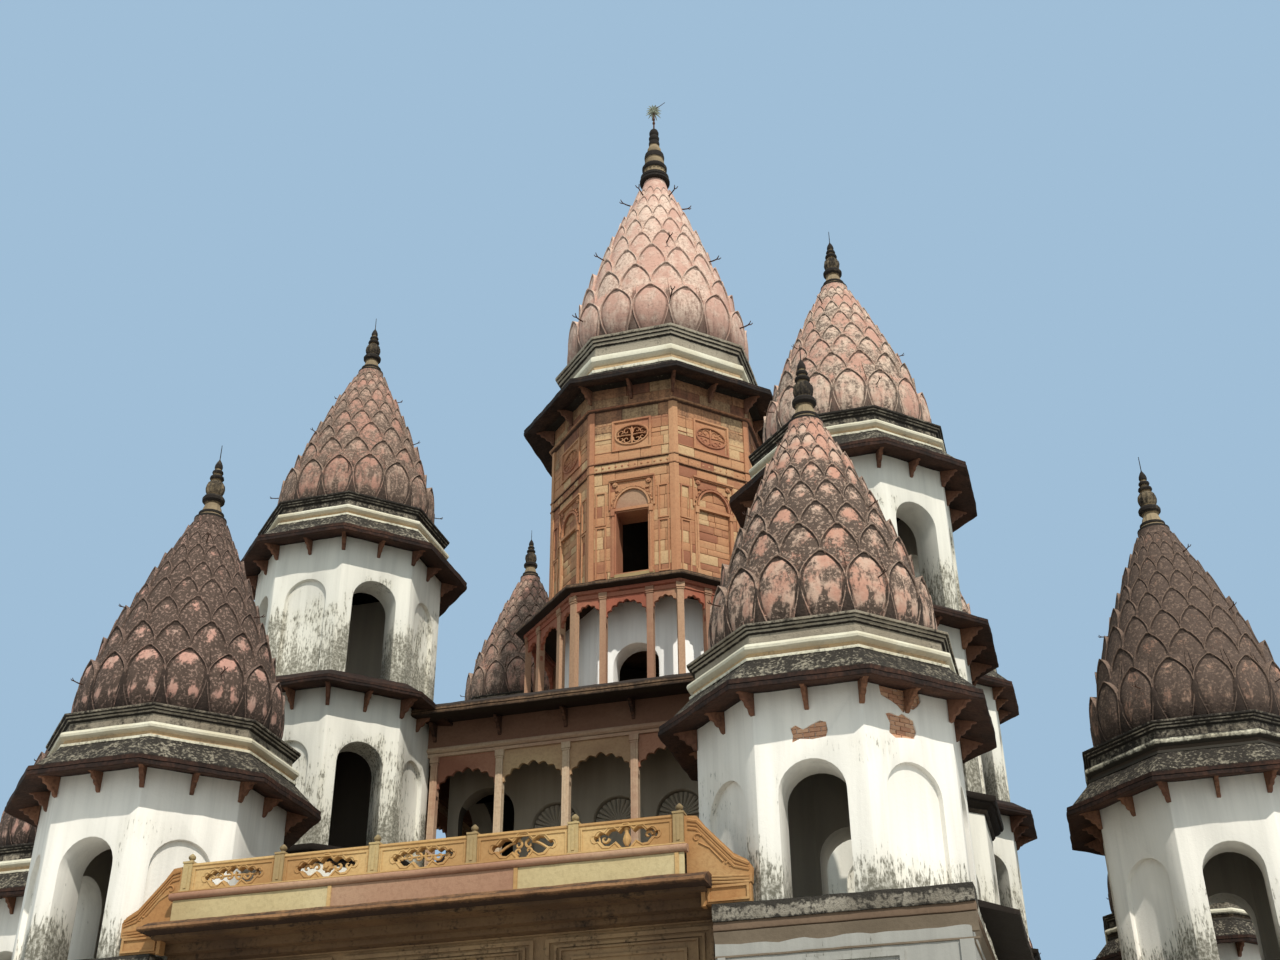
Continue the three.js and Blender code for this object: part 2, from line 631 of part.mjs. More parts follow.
const CENTRAL_SPIRE = { bud: 2045, height: 5690, finial: 1640, slab: 2150, cornice: 870 };
const { bud, height, finial, slab, cornice } = CENTRAL_SPIRE;
addNode("central_lotus", spire(bud, height, finial, slab, cornice), lotus, 0, 0, centralTop + CENTRAL_EAVE.rise);

export default temple;
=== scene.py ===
# %% [markdown]
# # Dressing a thirteen-towered temple
# The solids of the building are the fixed frame. This lesson puts plaster, stone, petals and
# carving around them, from the tower walls up to the finials and then down to the ground.
# Units are metres, +Z is up and the entrance front looks towards -Y.

# %% Load the frame
import json
import math
import random

import bmesh
import bpy
from mathutils import Matrix, Vector, noise


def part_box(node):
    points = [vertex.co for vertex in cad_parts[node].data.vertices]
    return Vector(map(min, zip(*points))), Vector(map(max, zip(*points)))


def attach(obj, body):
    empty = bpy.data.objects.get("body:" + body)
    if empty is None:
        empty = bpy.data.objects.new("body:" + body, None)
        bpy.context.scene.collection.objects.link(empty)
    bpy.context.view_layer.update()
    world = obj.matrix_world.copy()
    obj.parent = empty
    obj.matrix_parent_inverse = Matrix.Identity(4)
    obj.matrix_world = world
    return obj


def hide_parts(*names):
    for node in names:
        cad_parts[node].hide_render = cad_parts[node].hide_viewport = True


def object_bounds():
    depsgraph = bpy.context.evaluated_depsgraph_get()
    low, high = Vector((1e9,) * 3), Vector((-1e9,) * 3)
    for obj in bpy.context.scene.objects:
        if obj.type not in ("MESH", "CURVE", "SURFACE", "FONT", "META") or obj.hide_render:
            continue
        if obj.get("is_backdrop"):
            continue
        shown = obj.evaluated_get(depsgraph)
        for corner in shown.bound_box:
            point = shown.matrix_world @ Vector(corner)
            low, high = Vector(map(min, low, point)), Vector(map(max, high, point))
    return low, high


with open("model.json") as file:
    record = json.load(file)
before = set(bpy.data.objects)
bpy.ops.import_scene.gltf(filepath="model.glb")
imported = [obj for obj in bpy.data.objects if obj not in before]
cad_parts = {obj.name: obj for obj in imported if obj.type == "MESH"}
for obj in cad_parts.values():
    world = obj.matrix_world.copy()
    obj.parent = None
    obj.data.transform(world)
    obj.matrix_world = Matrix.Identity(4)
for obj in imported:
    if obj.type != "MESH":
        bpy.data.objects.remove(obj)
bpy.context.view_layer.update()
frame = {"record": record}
noise.seed_set(7)  # otherwise the ragged edges come out differently each time

# %% [markdown]
# ## Places that everything shares
# Nothing is fitted by eye twice. The levels and the tower axes are read from the frame, so a
# piece that stands on a tower always starts from the tower's own solid.

# %% Levels and tower places
LOW = ["front_left", "front_right", "right_front", "right_rear"]
LOW += ["rear_right", "rear_left", "left_rear", "left_front"]
HIGH = ["front_left", "front_right", "rear_right", "rear_left"]
SIDES = ["front", "right", "rear", "left"]
QUARTER = math.tau / 4
EIGHTH = math.tau / 8
CORNER = math.cos(math.pi / 8)  # distance to a side of an octagon, over the distance to its corner
MAIN_SIDES = range(0, 8, 2)  # sides of an octagon that face the four main directions
DIAGONAL_SIDES = range(1, 8, 2)


def axis_of(node):
    low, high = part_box(node)
    return (low.x + high.x) / 2, (low.y + high.y) / 2


def radius_of(node):
    """Distance from the axis of an octagonal solid to its corners."""
    low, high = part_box(node)
    return (high.x - low.x) / 2 / CORNER


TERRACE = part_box("drum_front_left")[0].z
LOW_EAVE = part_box("lotus_front_left")[0].z
SECOND_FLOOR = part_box("second_floor")[1].z
UPPER_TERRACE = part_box("upper_terrace")[1].z
HIGH_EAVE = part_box("high_lotus_front_left")[0].z
CENTRAL_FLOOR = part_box("central_drum")[0].z
CENTRAL_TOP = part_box("central_drum")[1].z
GRID = axis_of("high_drum_front_right")[0]
WALL = radius_of("middle_drum_front_left")
CENTRAL_WALL = radius_of("central_drum")
print("floors at", [round(z, 2) for z in (TERRACE, SECOND_FLOOR, UPPER_TERRACE, CENTRAL_FLOOR)])
print("tower wall radius", round(WALL, 3), "central", round(CENTRAL_WALL, 3))

# %% [markdown]
# ## Tools for meshes
# A wall, slab or moulding is a list of faces, so a few small makers are enough: an upright
# outline pushed through a wall, a profile carried round an octagon, and a profile turned on
# an axis. Each one returns a mesh that the finished pieces are put together from.

# %% Outlines pushed through a wall
def mesh_of(bm):
    mesh = bpy.data.meshes.new("mesh")
    bm.to_mesh(mesh)
    bm.free()
    return mesh


def closed(bm):
    """The mesh of a closed shape, with all its faces turned outwards."""
    bmesh.ops.recalc_face_normals(bm, faces=bm.faces)
    return mesh_of(bm)


def prism(near, far):
    """A solid between two like outlines, given as points in space."""
    bm = bmesh.new()
    front = [bm.verts.new(point) for point in near]
    back = [bm.verts.new(point) for point in far]
    bm.faces.new(front)
    bm.faces.new(back[::-1])
    for i, here in enumerate(front):
        j = (i + 1) % len(front)
        bm.faces.new((front[j], here, back[i], back[j]))
    return closed(bm)


def extruded(outline, near, far):
    """An outline in (across, up), from depth near to depth far, as the coordinate y."""
    return prism([(x, near, z) for x, z in outline], [(x, far, z) for x, z in outline])


def lengthways(section, x0, x1):
    """A section in (y, z) carried straight along X."""
    return prism([(x0, y, z) for y, z in section], [(x1, y, z) for y, z in section])


def block(x0, x1, y0, y1, z0, z1):
    return extruded([(x0, z0), (x1, z0), (x1, z1), (x0, z1)], y0, y1)


def beside(side, inner, outer):
    """The span between two distances from the middle, to the left (-1) or right (1) of it."""
    return sorted((side * inner, side * outer))


# %% Profiles carried round an octagon or turned on an axis
FLUTE = 0.86  # how far out the bottom of a flute lies, over the radius beside it


def skinned(bm, rings, finish=None):
    """Faces from each ring of points to the next. A ring of one point is a pole."""
    for k, (lower, upper) in enumerate(zip(rings, rings[1:])):
        count = max(len(lower), len(upper))
        for i in range(count):
            j = (i + 1) % count
            low = [lower[i % len(lower)], lower[j % len(lower)]]
            high = [upper[j % len(upper)], upper[i % len(upper)]]
            face = bm.faces.new(list(dict.fromkeys(low + high)))
            face.material_index = finish[k] if finish else 0


def carried(profile, sides=8, cuts=1, finish=None):
    """A closed profile carried round the Z axis, with straight sides. A point of it is (radius,
    height), or (radius, height, soot), and the soot is kept as an attribute. Finish is the
    place in the list of materials of the face that starts at each point."""
    bm = bmesh.new()
    layer = bm.verts.layers.float.new("soot")
    angles = [(side + 0.5) * math.tau / sides for side in range(sides)]
    corners = [Vector((math.cos(angle), math.sin(angle))) for angle in angles]
    rings = []
    for radius, z, *soot in profile:
        ring = []
        for here, after in zip(corners, corners[1:] + corners[:1]):
            for cut in range(cuts):
                spot = here.lerp(after, cut / cuts) * radius
                vert = bm.verts.new((spot.x, spot.y, z))
                vert[layer] = soot[0] if soot else 0.0
                ring.append(vert)
        rings.append(ring)
    skinned(bm, rings + rings[:1], finish)
    return closed(bm)


def turned(profile, sides=24, ribs=()):
    """A profile of (radius, height) from the axis back to the axis, turned into a solid.
    Ribs lists the (low, high) heights between which the profile is fluted."""
    bm = bmesh.new()
    rings = []
    for radius, z in profile:
        if radius < 1e-6:
            rings.append([bm.verts.new((0, 0, z))])
            continue
        ring = []
        for i in range(sides):
            fluted = i % 2 and any(low < z < high for low, high in ribs)
            reach = radius * (FLUTE if fluted else 1.0)
            angle = i * math.tau / sides
            ring.append(bm.verts.new((reach * math.cos(angle), reach * math.sin(angle), z)))
        rings.append(ring)
    skinned(bm, rings)
    return closed(bm)


# %% Placing and joining meshes
def at(x=0.0, y=0.0, z=0.0, turn=0.0):
    return Matrix.Translation((x, y, z)) @ Matrix.Rotation(turn, 4, "Z")


def sized(place, size):
    """A matrix for one copy of a mesh, from its place and its (x, y, z) size."""
    return at(*place) @ Matrix.Diagonal((*size, 1.0))


def around(reach, turn, z):
    """A place at a distance from the axis, turned from the side that faces -Y."""
    return reach * math.sin(turn), -reach * math.cos(turn), z


def united(*parts):
    """One mesh out of meshes or (mesh, matrix) pairs. The source meshes stay as they are."""
    bm = bmesh.new()
    for part in parts:
        mesh, matrix = part if isinstance(part, tuple) else (part, Matrix())
        copy = mesh.copy()
        copy.transform(matrix)
        bm.from_mesh(copy)
        bpy.data.meshes.remove(copy)
    return mesh_of(bm)


def placed(mesh, x, y, z, turn=0.0):
    """A copy of the mesh in its place on the building."""
    return united((mesh, at(x, y, z, turn)))


def round_octagon(mesh, places=range(8)):
    """The mesh, made for the side that faces -Y, repeated on other sides of an octagon."""
    return united(*[(mesh, at(turn=k * EIGHTH)) for k in places])


def four_sides(mesh):
    return united(*[(mesh, at(turn=k * QUARTER)) for k in range(4)])


# %% Values and materials on the faces and points of a mesh
def painted(index, *parts):
    """The parts as one mesh, with every face set to the material of that place in its list."""
    mesh = united(*parts)
    mesh.polygons.foreach_set("material_index", [index] * len(mesh.polygons))
    return mesh


def lined(mesh, index):
    """The mesh with the faces that look in, towards the Z axis, set to another material: a plaster
    darkened as painted shade for the insides.
    """
    for face in mesh.polygons:
        flat = Vector((face.center.x, face.center.y))
        if flat.length > 0.1 and flat.normalized().dot(face.normal.xy) < -0.6:
            face.material_index = index
    return mesh


def point_values(mesh, name, rule):
    """Stores a number for each point, worked out by the rule from its place."""
    attribute = mesh.attributes.get(name) or mesh.attributes.new(name, "FLOAT", "POINT")
    attribute.data.foreach_set("value", [rule(vert.co) for vert in mesh.vertices])
    return mesh


def risen(mesh, foot, top):
    """Stores each point's share of the height of its storey."""
    return point_values(mesh, "rise", lambda co: (co.z - foot) / (top - foot))


def tinted(mesh, swing, waves, middle=0.5, phase=0.0):
    """Stores a tint that drifts to and fro, by waves per metre in x, y and z."""
    return point_values(mesh, "tint", lambda co: middle + swing * math.sin(co.dot(waves) + phase))


# %% Modifiers, applied at once
def new_object(name, data):
    obj = bpy.data.objects.new(name, data)
    bpy.context.scene.collection.objects.link(obj)
    return obj


def settled(obj):
    """The object's evaluated mesh, as a plain mesh of its own, with the object removed."""
    bpy.context.view_layer.update()
    evaluated = obj.evaluated_get(bpy.context.evaluated_depsgraph_get())
    mesh = bpy.data.meshes.new_from_object(evaluated)
    bpy.data.objects.remove(obj)
    return mesh


def wear(target, width, segments=2, angle=35):
    worn = target.modifiers.new("worn", "BEVEL")
    worn.width = width
    worn.segments = segments
    worn.limit_method = "ANGLE"
    worn.angle_limit = math.radians(angle)
    worn.use_clamp_overlap = True


def worn_edges(mesh, width, segments=2):
    target = new_object("target", mesh)
    wear(target, width, segments)
    return settled(target)


def cut_away(mesh, cutter, bevel=0.0):
    """The mesh less the cutter, with its sharp edges worn round by the bevel."""
    target = new_object("target", mesh)
    tool = new_object("tool", cutter)
    cut = target.modifiers.new("cut", "BOOLEAN")
    cut.operation = "DIFFERENCE"
    cut.solver = "EXACT"
    cut.use_self = True
    cut.object = tool
    if bevel:
        wear(target, bevel)
    result = settled(target)
    bpy.data.objects.remove(tool)
    return result


def ragged(mesh, amount, size=3.0):
    """Moves the points by smooth noise, for old edges that nobody has straightened since."""
    for vert in mesh.vertices:
        push = noise.noise_vector(vert.co * size)
        vert.co += Vector((push.x, push.y, push.z * 0.6)) * amount
    return mesh


# %% A finished piece
def dressed(name, mesh, finishes, stands_for=(), smooth=35):
    """A finished piece: smooth up to an angle, with its materials, riding on the building."""
    mesh.polygons.foreach_set("use_smooth", [True] * len(mesh.polygons))
    mesh.set_sharp_from_angle(angle=math.radians(smooth))
    places = [0] * len(mesh.polygons)
    mesh.polygons.foreach_get("material_index", places)
    mesh.materials.clear()
    for finish in finishes:
        mesh.materials.append(finish)
    mesh.polygons.foreach_set("material_index", places)
    obj = new_object(name, mesh)
    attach(obj, "root")
    if stands_for:
        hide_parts(*stands_for)
    return obj


# %% Copies on points with Geometry Nodes
def copies_tree():
    """Copies a piece onto points, by their turn and size, and gives each copy its own tint."""
    tree = bpy.data.node_groups.new("copies on points", "GeometryNodeTree")
    inputs = (("Points", "Geometry"), ("Piece", "Object"), ("Finish", "Material"), ("Seed", "Int"))
    for name, kind in inputs:
        tree.interface.new_socket(name, in_out="INPUT", socket_type=f"NodeSocket{kind}")
    tree.interface.new_socket("Copies", in_out="OUTPUT", socket_type="NodeSocketGeometry")
    nodes, links = tree.nodes, tree.links
    given = nodes.new("NodeGroupInput")
    piece = nodes.new("GeometryNodeObjectInfo")
    links.new(given.outputs["Piece"], piece.inputs["Object"])
    place = nodes.new("GeometryNodeInstanceOnPoints")
    links.new(given.outputs["Points"], place.inputs["Points"])
    links.new(piece.outputs["Geometry"], place.inputs["Instance"])
    for name, socket in (("turn", "Rotation"), ("size", "Scale")):
        attribute = nodes.new("GeometryNodeInputNamedAttribute")
        attribute.data_type = "FLOAT_VECTOR"
        attribute.inputs["Name"].default_value = name
        links.new(attribute.outputs["Attribute"], place.inputs[socket])
    chance = nodes.new("FunctionNodeRandomValue")
    links.new(given.outputs["Seed"], chance.inputs["Seed"])
    tint = nodes.new("GeometryNodeStoreNamedAttribute")
    tint.domain = "INSTANCE"
    tint.data_type = "FLOAT"
    tint.inputs["Name"].default_value = "tint"
    links.new(place.outputs["Instances"], tint.inputs["Geometry"])
    links.new(chance.outputs[1], tint.inputs["Value"])
    real = nodes.new("GeometryNodeRealizeInstances")
    finish = nodes.new("GeometryNodeSetMaterial")
    links.new(tint.outputs["Geometry"], real.inputs["Geometry"])
    links.new(real.outputs["Geometry"], finish.inputs["Geometry"])
    links.new(given.outputs["Finish"], finish.inputs["Material"])
    links.new(finish.outputs["Geometry"], nodes.new("NodeGroupOutput").inputs["Copies"])
    return tree


COPIES = copies_tree()


def copied(mesh, spots, finish, seed=1):
    """The mesh copied to spots of (place, turn, size), each copy with a random tint of its own."""
    points = bpy.data.meshes.new("points")
    points.from_pydata([spot[0] for spot in spots], [], [])
    for index, name in ((1, "turn"), (2, "size")):
        attribute = points.attributes.new(name, "FLOAT_VECTOR", "POINT")
        attribute.data.foreach_set("vector", [value for spot in spots for value in spot[index]])
    carrier = new_object("carrier", points)
    pattern = new_object("pattern", mesh)
    modifier = carrier.modifiers.new("copies", "NODES")
    modifier.node_group = COPIES
    sockets = {item.name: item.identifier for item in COPIES.interface.items_tree}
    modifier[sockets["Piece"]] = pattern
    modifier[sockets["Finish"]] = finish
    modifier[sockets["Seed"]] = seed
    result = settled(carrier)
    bpy.data.objects.remove(pattern)
    return result


# %% [markdown]
# ## Finishes
# The real walls are lime plaster, sandstone and tinted plaster petals, all of it stained by
# rain and soot. One weathering group makes the masks that every finish needs: long streaks,
# wide patches, fine specks and a relief for the bump. Each material mixes its own colours.

# %% Colour and node helpers
def rgb(red, green, blue):
    """A colour as it looks on a screen, 0 to 255, turned into the linear values of a shader."""
    linear = []
    for value in (red, green, blue):
        share = value / 255
        linear.append(share / 12.92 if share <= 0.04045 else ((share + 0.055) / 1.055) ** 2.4)
    return (*linear, 1.0)


def darker(colour, share):
    return tuple(value * share for value in colour[:3]) + (1.0,)


def grey(share):
    """A grey that multiplies a colour down to a share of its light."""
    return rgb(*[255 * share ** 0.45] * 3)


class Pen:
    """A pen for node trees: each call adds one node, wires its inputs and gives its output."""

    def __init__(self, tree):
        self.tree = tree

    def add(self, kind, **settings):
        node = self.tree.nodes.new(kind)
        for name, value in settings.items():
            setattr(node, name, value)
        return node

    def put(self, value, socket):
        if isinstance(value, bpy.types.NodeSocket):
            self.tree.links.new(value, socket)
        else:
            socket.default_value = value

    def math(self, operation, first, second=0.0):
        node = self.add("ShaderNodeMath", operation=operation)
        self.put(first, node.inputs[0])
        self.put(second, node.inputs[1])
        return node.outputs[0]

    def plus(self, *values):
        total = values[0]
        for value in values[1:]:
            total = self.math("ADD", total, value)
        return total

    def times(self, first, second):
        return self.math("MULTIPLY", first, second)

    def ramp(self, value, low, high, to_low=0.0, to_high=1.0):
        node = self.add("ShaderNodeMapRange", interpolation_type="SMOOTHSTEP")
        for socket, number in zip(node.inputs, (value, low, high, to_low, to_high)):
            self.put(number, socket)
        return node.outputs[0]

    def mix(self, share, first, second, blend="MIX"):
        node = self.add("ShaderNodeMix", data_type="RGBA", blend_type=blend)
        self.put(share, node.inputs[0])
        self.put(first, node.inputs[6])
        self.put(second, node.inputs[7])
        return node.outputs[2]

    def place(self):
        return self.add("ShaderNodeTexCoord").outputs["Object"]

    def noise(self, vector, scale, detail=4.0, rough=0.6):
        node = self.add("ShaderNodeTexNoise")
        self.put(vector, node.inputs["Vector"])
        self.put(scale, node.inputs["Scale"])
        node.inputs["Detail"].default_value = detail
        node.inputs["Roughness"].default_value = rough
        return node.outputs["Fac"]

    def stretched(self, vector, up):
        """The place, with heights counted up times as fast, so that a pattern runs along Z."""
        node = self.add("ShaderNodeMapping")
        self.put(vector, node.inputs["Vector"])
        node.inputs["Scale"].default_value = (1.0, 1.0, up)
        return node.outputs[0]

    def attribute(self, name):
        return self.add("ShaderNodeAttribute", attribute_name=name).outputs["Fac"]


# %% The weathering group
def weathering_group():
    tree = bpy.data.node_groups.new("weathering", "ShaderNodeTree")
    for name in ("Streak size", "Patch size"):
        socket = tree.interface.new_socket(name, in_out="INPUT", socket_type="NodeSocketFloat")
        socket.default_value = 1.0
    pen = Pen(tree)
    given = pen.add("NodeGroupInput").outputs
    place = pen.place()
    strokes = pen.stretched(place, 0.24)
    runs = pen.stretched(place, 0.07)
    fine = pen.noise(place, 75.0, 3.0, 0.65)
    specks = pen.noise(place, 24.0, 4.0, 0.62)
    masks = {
        "Streaks": pen.noise(strokes, pen.math("DIVIDE", 36.0, given["Streak size"]), 4.0, 0.6),
        "Runs": pen.noise(runs, pen.math("DIVIDE", 6.5, given["Streak size"]), 5.0, 0.6),
        "Patches": pen.noise(place, pen.math("DIVIDE", 0.85, given["Patch size"]), 6.0, 0.58),
        "Specks": specks,
        "Relief": pen.plus(pen.times(specks, 0.7), pen.times(fine, 0.3)),
    }
    for name in masks:
        tree.interface.new_socket(name, in_out="OUTPUT", socket_type="NodeSocketFloat")
    result = pen.add("NodeGroupOutput")
    for name, value in masks.items():
        pen.put(value, result.inputs[name])
    return tree


WEATHERING = weathering_group()


def started(name, streak_size=1.0, patch_size=1.0):
    """A new material with its weathering masks, ready for colours."""
    material = bpy.data.materials.new(name)
    material.use_nodes = True
    pen = Pen(material.node_tree)
    masks = pen.add("ShaderNodeGroup", node_tree=WEATHERING)
    masks.inputs["Streak size"].default_value = streak_size
    masks.inputs["Patch size"].default_value = patch_size
    return material, pen, masks.outputs


def ended(material, pen, colour, relief, strength=0.4, distance=0.012):
    """Wires the colour and a bump, with a roughness that follows the relief."""
    shader = material.node_tree.nodes["Principled BSDF"]
    pen.put(colour, shader.inputs["Base Color"])
    pen.put(pen.ramp(relief, 0.2, 0.8, 0.82, 0.96), shader.inputs["Roughness"])
    bump = pen.add("ShaderNodeBump")
    bump.inputs["Strength"].default_value = strength
    bump.inputs["Distance"].default_value = distance
    pen.put(relief, bump.inputs["Height"])
    pen.put(bump.outputs[0], shader.inputs["Normal"])
    shader.inputs["Specular IOR Level"].default_value = 0.2
    return material


# %% [markdown]
# ### Lime plaster
# The walls are white where the rain does not reach and carry thin black strokes of mould
# where water runs. Strokes are a stretched noise cut at a level. The level rises near the
# floor of each storey, which the attribute called rise tells, and inside wide patches.

# %% Lime plaster
HAZE = rgb(200, 192, 168)


def lime_plaster(name, white, mould, patches, foot, reach=0.36, head=0.86, crown=1.0):
    """Patches and foot are how much mould grows in patches and near the floor, up to a share
    called reach of the storey, and less grows above the share called head. Crown is how much
    light a painted shade leaves on the top of the storey, from 0.76 to 0.86 of its height up."""
    material, pen, masks = started(name)
    white = rgb(*white)
    rise = pen.attribute("rise")
    wet = pen.ramp(rise, 0.0, reach, foot, 0.0)
    wide = pen.plus(masks["Patches"], pen.times(masks["Runs"], 0.35))
    patchy = pen.ramp(wide, 0.60, 0.86, 0.0, patches)
    sheltered = pen.ramp(rise, head - 0.16, head, 0.0, -0.5)
    level = pen.plus(wet, patchy, sheltered)
    strokes = pen.ramp(pen.plus(masks["Streaks"], level), 0.74, 0.90)
    thin = pen.times(strokes, pen.ramp(masks["Specks"], 0.28, 0.62, 0.30, 0.92))
    warm = pen.mix(pen.ramp(masks["Runs"], 0.35, 0.75), white, darker(white, 0.86))
    yellow = pen.mix(pen.ramp(level, 0.06, 0.42, 0.0, 0.38), warm, HAZE)
    stroked = pen.mix(thin, yellow, rgb(*mould))
    # Painted shade: from 0.76 to 0.86 of the storey's height up, the colour is multiplied down to the share
    # called crown.
    shaded = pen.mix(1.0, stroked, grey(crown), "MULTIPLY")
    colour = pen.mix(pen.ramp(rise, 0.76, 0.86), stroked, shaded)
    relief = pen.math("SUBTRACT", masks["Relief"], pen.times(thin, 0.35))
    return ended(material, pen, colour, relief, 0.35)


MOULD = (96, 92, 78)
# Painted light: this plaster is made brighter than the other walls, to light up the white room in the shade
# of the ring.
BRIGHT_PLASTER = lime_plaster("lime plaster brightened as painted light", (252, 250, 244), MOULD, 0.12, 0.2)
CLEAN_PLASTER = lime_plaster("clean lime plaster", (235, 230, 219), MOULD, 0.20, 0.36)
# The ground storey plaster carries a painted shade on the top of its walls, under the roof slab.
GROUND_PLASTER = lime_plaster(
    "ground storey plaster with painted shade at its top", (234, 231, 220), MOULD, 0.2, 0.4, reach=0.3, head=2.0, crown=0.40)
# Painted shade: the plasters for the insides of drums and rooms are darkened to stand for the shade in them.
INSIDE_PLASTER = lime_plaster("shaded inside plaster", (170, 162, 148), (90, 84, 72), 0.1, 0.2)
# Painted shade: the wall behind the arcade screens is darkened to stand for the shade under the arcade.
SHADE_DARKENED_PLASTER = lime_plaster("plaster darkened by painted shade", (156, 144, 126), (84, 78, 68), 0.12, 0.1)
DEEP_SHADE_PLASTER = lime_plaster("plaster blackened by painted shade", (84, 76, 66), (46, 42, 37), 0.1, 0.1)
STAINED_PLASTER = lime_plaster(
    "stained lime plaster", (224, 220, 207), (104, 100, 86), 0.31, 0.36, reach=0.7)


# %% [markdown]
# ### Stone that rain has blackened
# Eave slabs, ledges and mouldings differ only in their two stone colours and in how much
# soot lies on them. The attribute called soot is set on each ring of a moulding, because
# ledges that catch rain go black and the rolls below them stay pale.

# %% Weathered stone
def weathered_stone(name, main, second, soot, amount, sharp=0.16, strength=0.5, distance=0.02,
                    fine=0.35):
    """Amount is how much soot lies all over, and sharp how soft its edge is. Fine is how much
    of that edge is made of specks, and not of clouds."""
    material, pen, masks = started(name)
    main = rgb(*main)
    stone = pen.mix(pen.ramp(masks["Patches"], 0.38, 0.66), main, rgb(*second))
    grain = pen.mix(pen.ramp(masks["Specks"], 0.38, 0.72, 0.0, 0.30), stone, darker(main, 0.6))
    cloud = pen.noise(pen.place(), 2.6, 6.0, 0.66)
    rain = pen.times(masks["Runs"], 0.30)
    edge = (pen.times(masks["Specks"], fine), pen.times(cloud, 0.70 - fine))
    level = pen.plus(pen.attribute("soot"), rain, *edge, amount)
    colour = pen.mix(pen.ramp(level, 0.72 - sharp, 0.72 + sharp), grain, rgb(*soot))
    return ended(material, pen, colour, masks["Relief"], strength, distance)


DARK_EAVE = weathered_stone("dark eave slabs", (66, 52, 44), (86, 64, 50), (32, 27, 25), 0.18)
EAVE_STONE = weathered_stone("rust brown eave slabs", (62, 42, 33), (84, 56, 43), (32, 25, 22), 0.11)
ROUGH_EDGE = weathered_stone(
    "black lichened slab edge", (160, 152, 137), (116, 108, 95), (56, 52, 46), 0.09,
    sharp=0.07, strength=1.0, distance=0.05, fine=0.50)
ROUGH_BAND = weathered_stone(
    "lichened plaster band", (156, 147, 128), (112, 103, 88), (52, 47, 41), 0.09,
    sharp=0.06, strength=1.0, distance=0.05, fine=0.60)
BUFF_LEDGE = weathered_stone("buff brown ledge", (128, 102, 78), (104, 80, 61), (50, 40, 33), 0.12)
LEDGE_STONE = weathered_stone("dark ledge stone", (98, 85, 72), (80, 67, 55), (40, 34, 29), 0.19)
LIP_STONE = weathered_stone("orange brown lip", (146, 109, 75), (120, 87, 61), (58, 44, 36), 0.10)
# Painted shade: the stone under the balcony's lip is darkened to stand for the shade there, over its
# weathering.
SHADED_UNDER_STONE = weathered_stone(
    "stained stone under the balcony", (112, 86, 60), (84, 64, 48), (44, 36, 30), 0.15, sharp=0.08)
CORNICE_PLASTER = weathered_stone(
    "cream cornice plaster", (216, 210, 188), (194, 184, 158), (58, 54, 47), 0.05, sharp=0.12)
CORNICE_TAN = weathered_stone(
    "tan cornice recess", (194, 166, 126), (176, 150, 118), (66, 56, 46), 0.02)
CORNICE_OLIVE = weathered_stone(
    "olive cornice stone", (156, 146, 128), (128, 117, 100), (44, 40, 35), 0.09,
    sharp=0.09, strength=0.7, distance=0.03)
BRACKET_STONE = weathered_stone(
    "brown bracket stone", (112, 78, 62), (138, 98, 74), (50, 37, 31), 0.12)
FINIAL_STONE = weathered_stone(
    "olive grey finial stone", (154, 136, 108), (116, 100, 78), (38, 33, 29), 0.08)
CROWN_METAL = weathered_stone(
    "pale grey green metal", (172, 176, 158), (132, 136, 118), (78, 74, 64), 0.0)
IRON = weathered_stone("rusty iron", (70, 52, 44), (88, 60, 46), (36, 30, 28), 0.1)
WEATHERED_PANEL = weathered_stone(
    "weathered ochre panels", (158, 130, 96), (118, 94, 72), (56, 46, 37), 0.14, sharp=0.07)
COVE_PLASTER = weathered_stone(
    "shaded cove plaster", (122, 108, 91), (108, 95, 79), (66, 56, 47), -0.06,
    sharp=0.14, strength=0.3)
WALL_LEDGE = weathered_stone(
    "brown ledge over the cove", (116, 96, 78), (104, 85, 69), (56, 46, 38), -0.02,
    sharp=0.2, strength=0.4)


# %% [markdown]
# ### Tinted lotus plaster
# Every petal is pink or tan plaster under dark lichen, which spares the heart of the petal below
# its tip. The gaps between the petals are darkened by lichen and painted shade, a band under
# each curled lip by painted shade, and the lip itself is lightened by a painted highlight.
# Attributes of the petal mark these: edge, which is 1 in the dark band and the gaps, rim on the
# lip, and heart. Each tower has its own share of lichen.

# %% Lotus plaster
def lotus_lichen(pen, rise, blots, freckles, cover, foot_cover, crown_cover, heart, upper_heart):
    """The level of lichen on a bud, which runs in drips over the bottom row of petals."""
    tint = pen.attribute("tint")
    drips = pen.noise(pen.stretched(pen.place(), 0.22), 16.0, 4.0, 0.62)
    over_rows = pen.ramp(rise, 0.16, 0.26, foot_cover, cover)
    amount = pen.plus(over_rows, pen.ramp(rise, 0.58, 0.80, 0.0, crown_cover))
    mixed = pen.plus(pen.times(blots, 0.35), pen.times(freckles, 0.65))
    dripping = pen.plus(pen.times(blots, 0.25), pen.times(drips, 0.45), pen.times(freckles, 0.30))
    pattern = pen.mix(pen.ramp(rise, 0.14, 0.22, 1.0, 0.0), mixed, dripping)
    spread = pen.plus(pattern, pen.times(tint, 0.06), amount)
    spared = pen.ramp(rise, 0.24, 0.50, heart, heart * upper_heart)
    return pen.math("SUBTRACT", spread, pen.times(pen.attribute("heart"), spared))


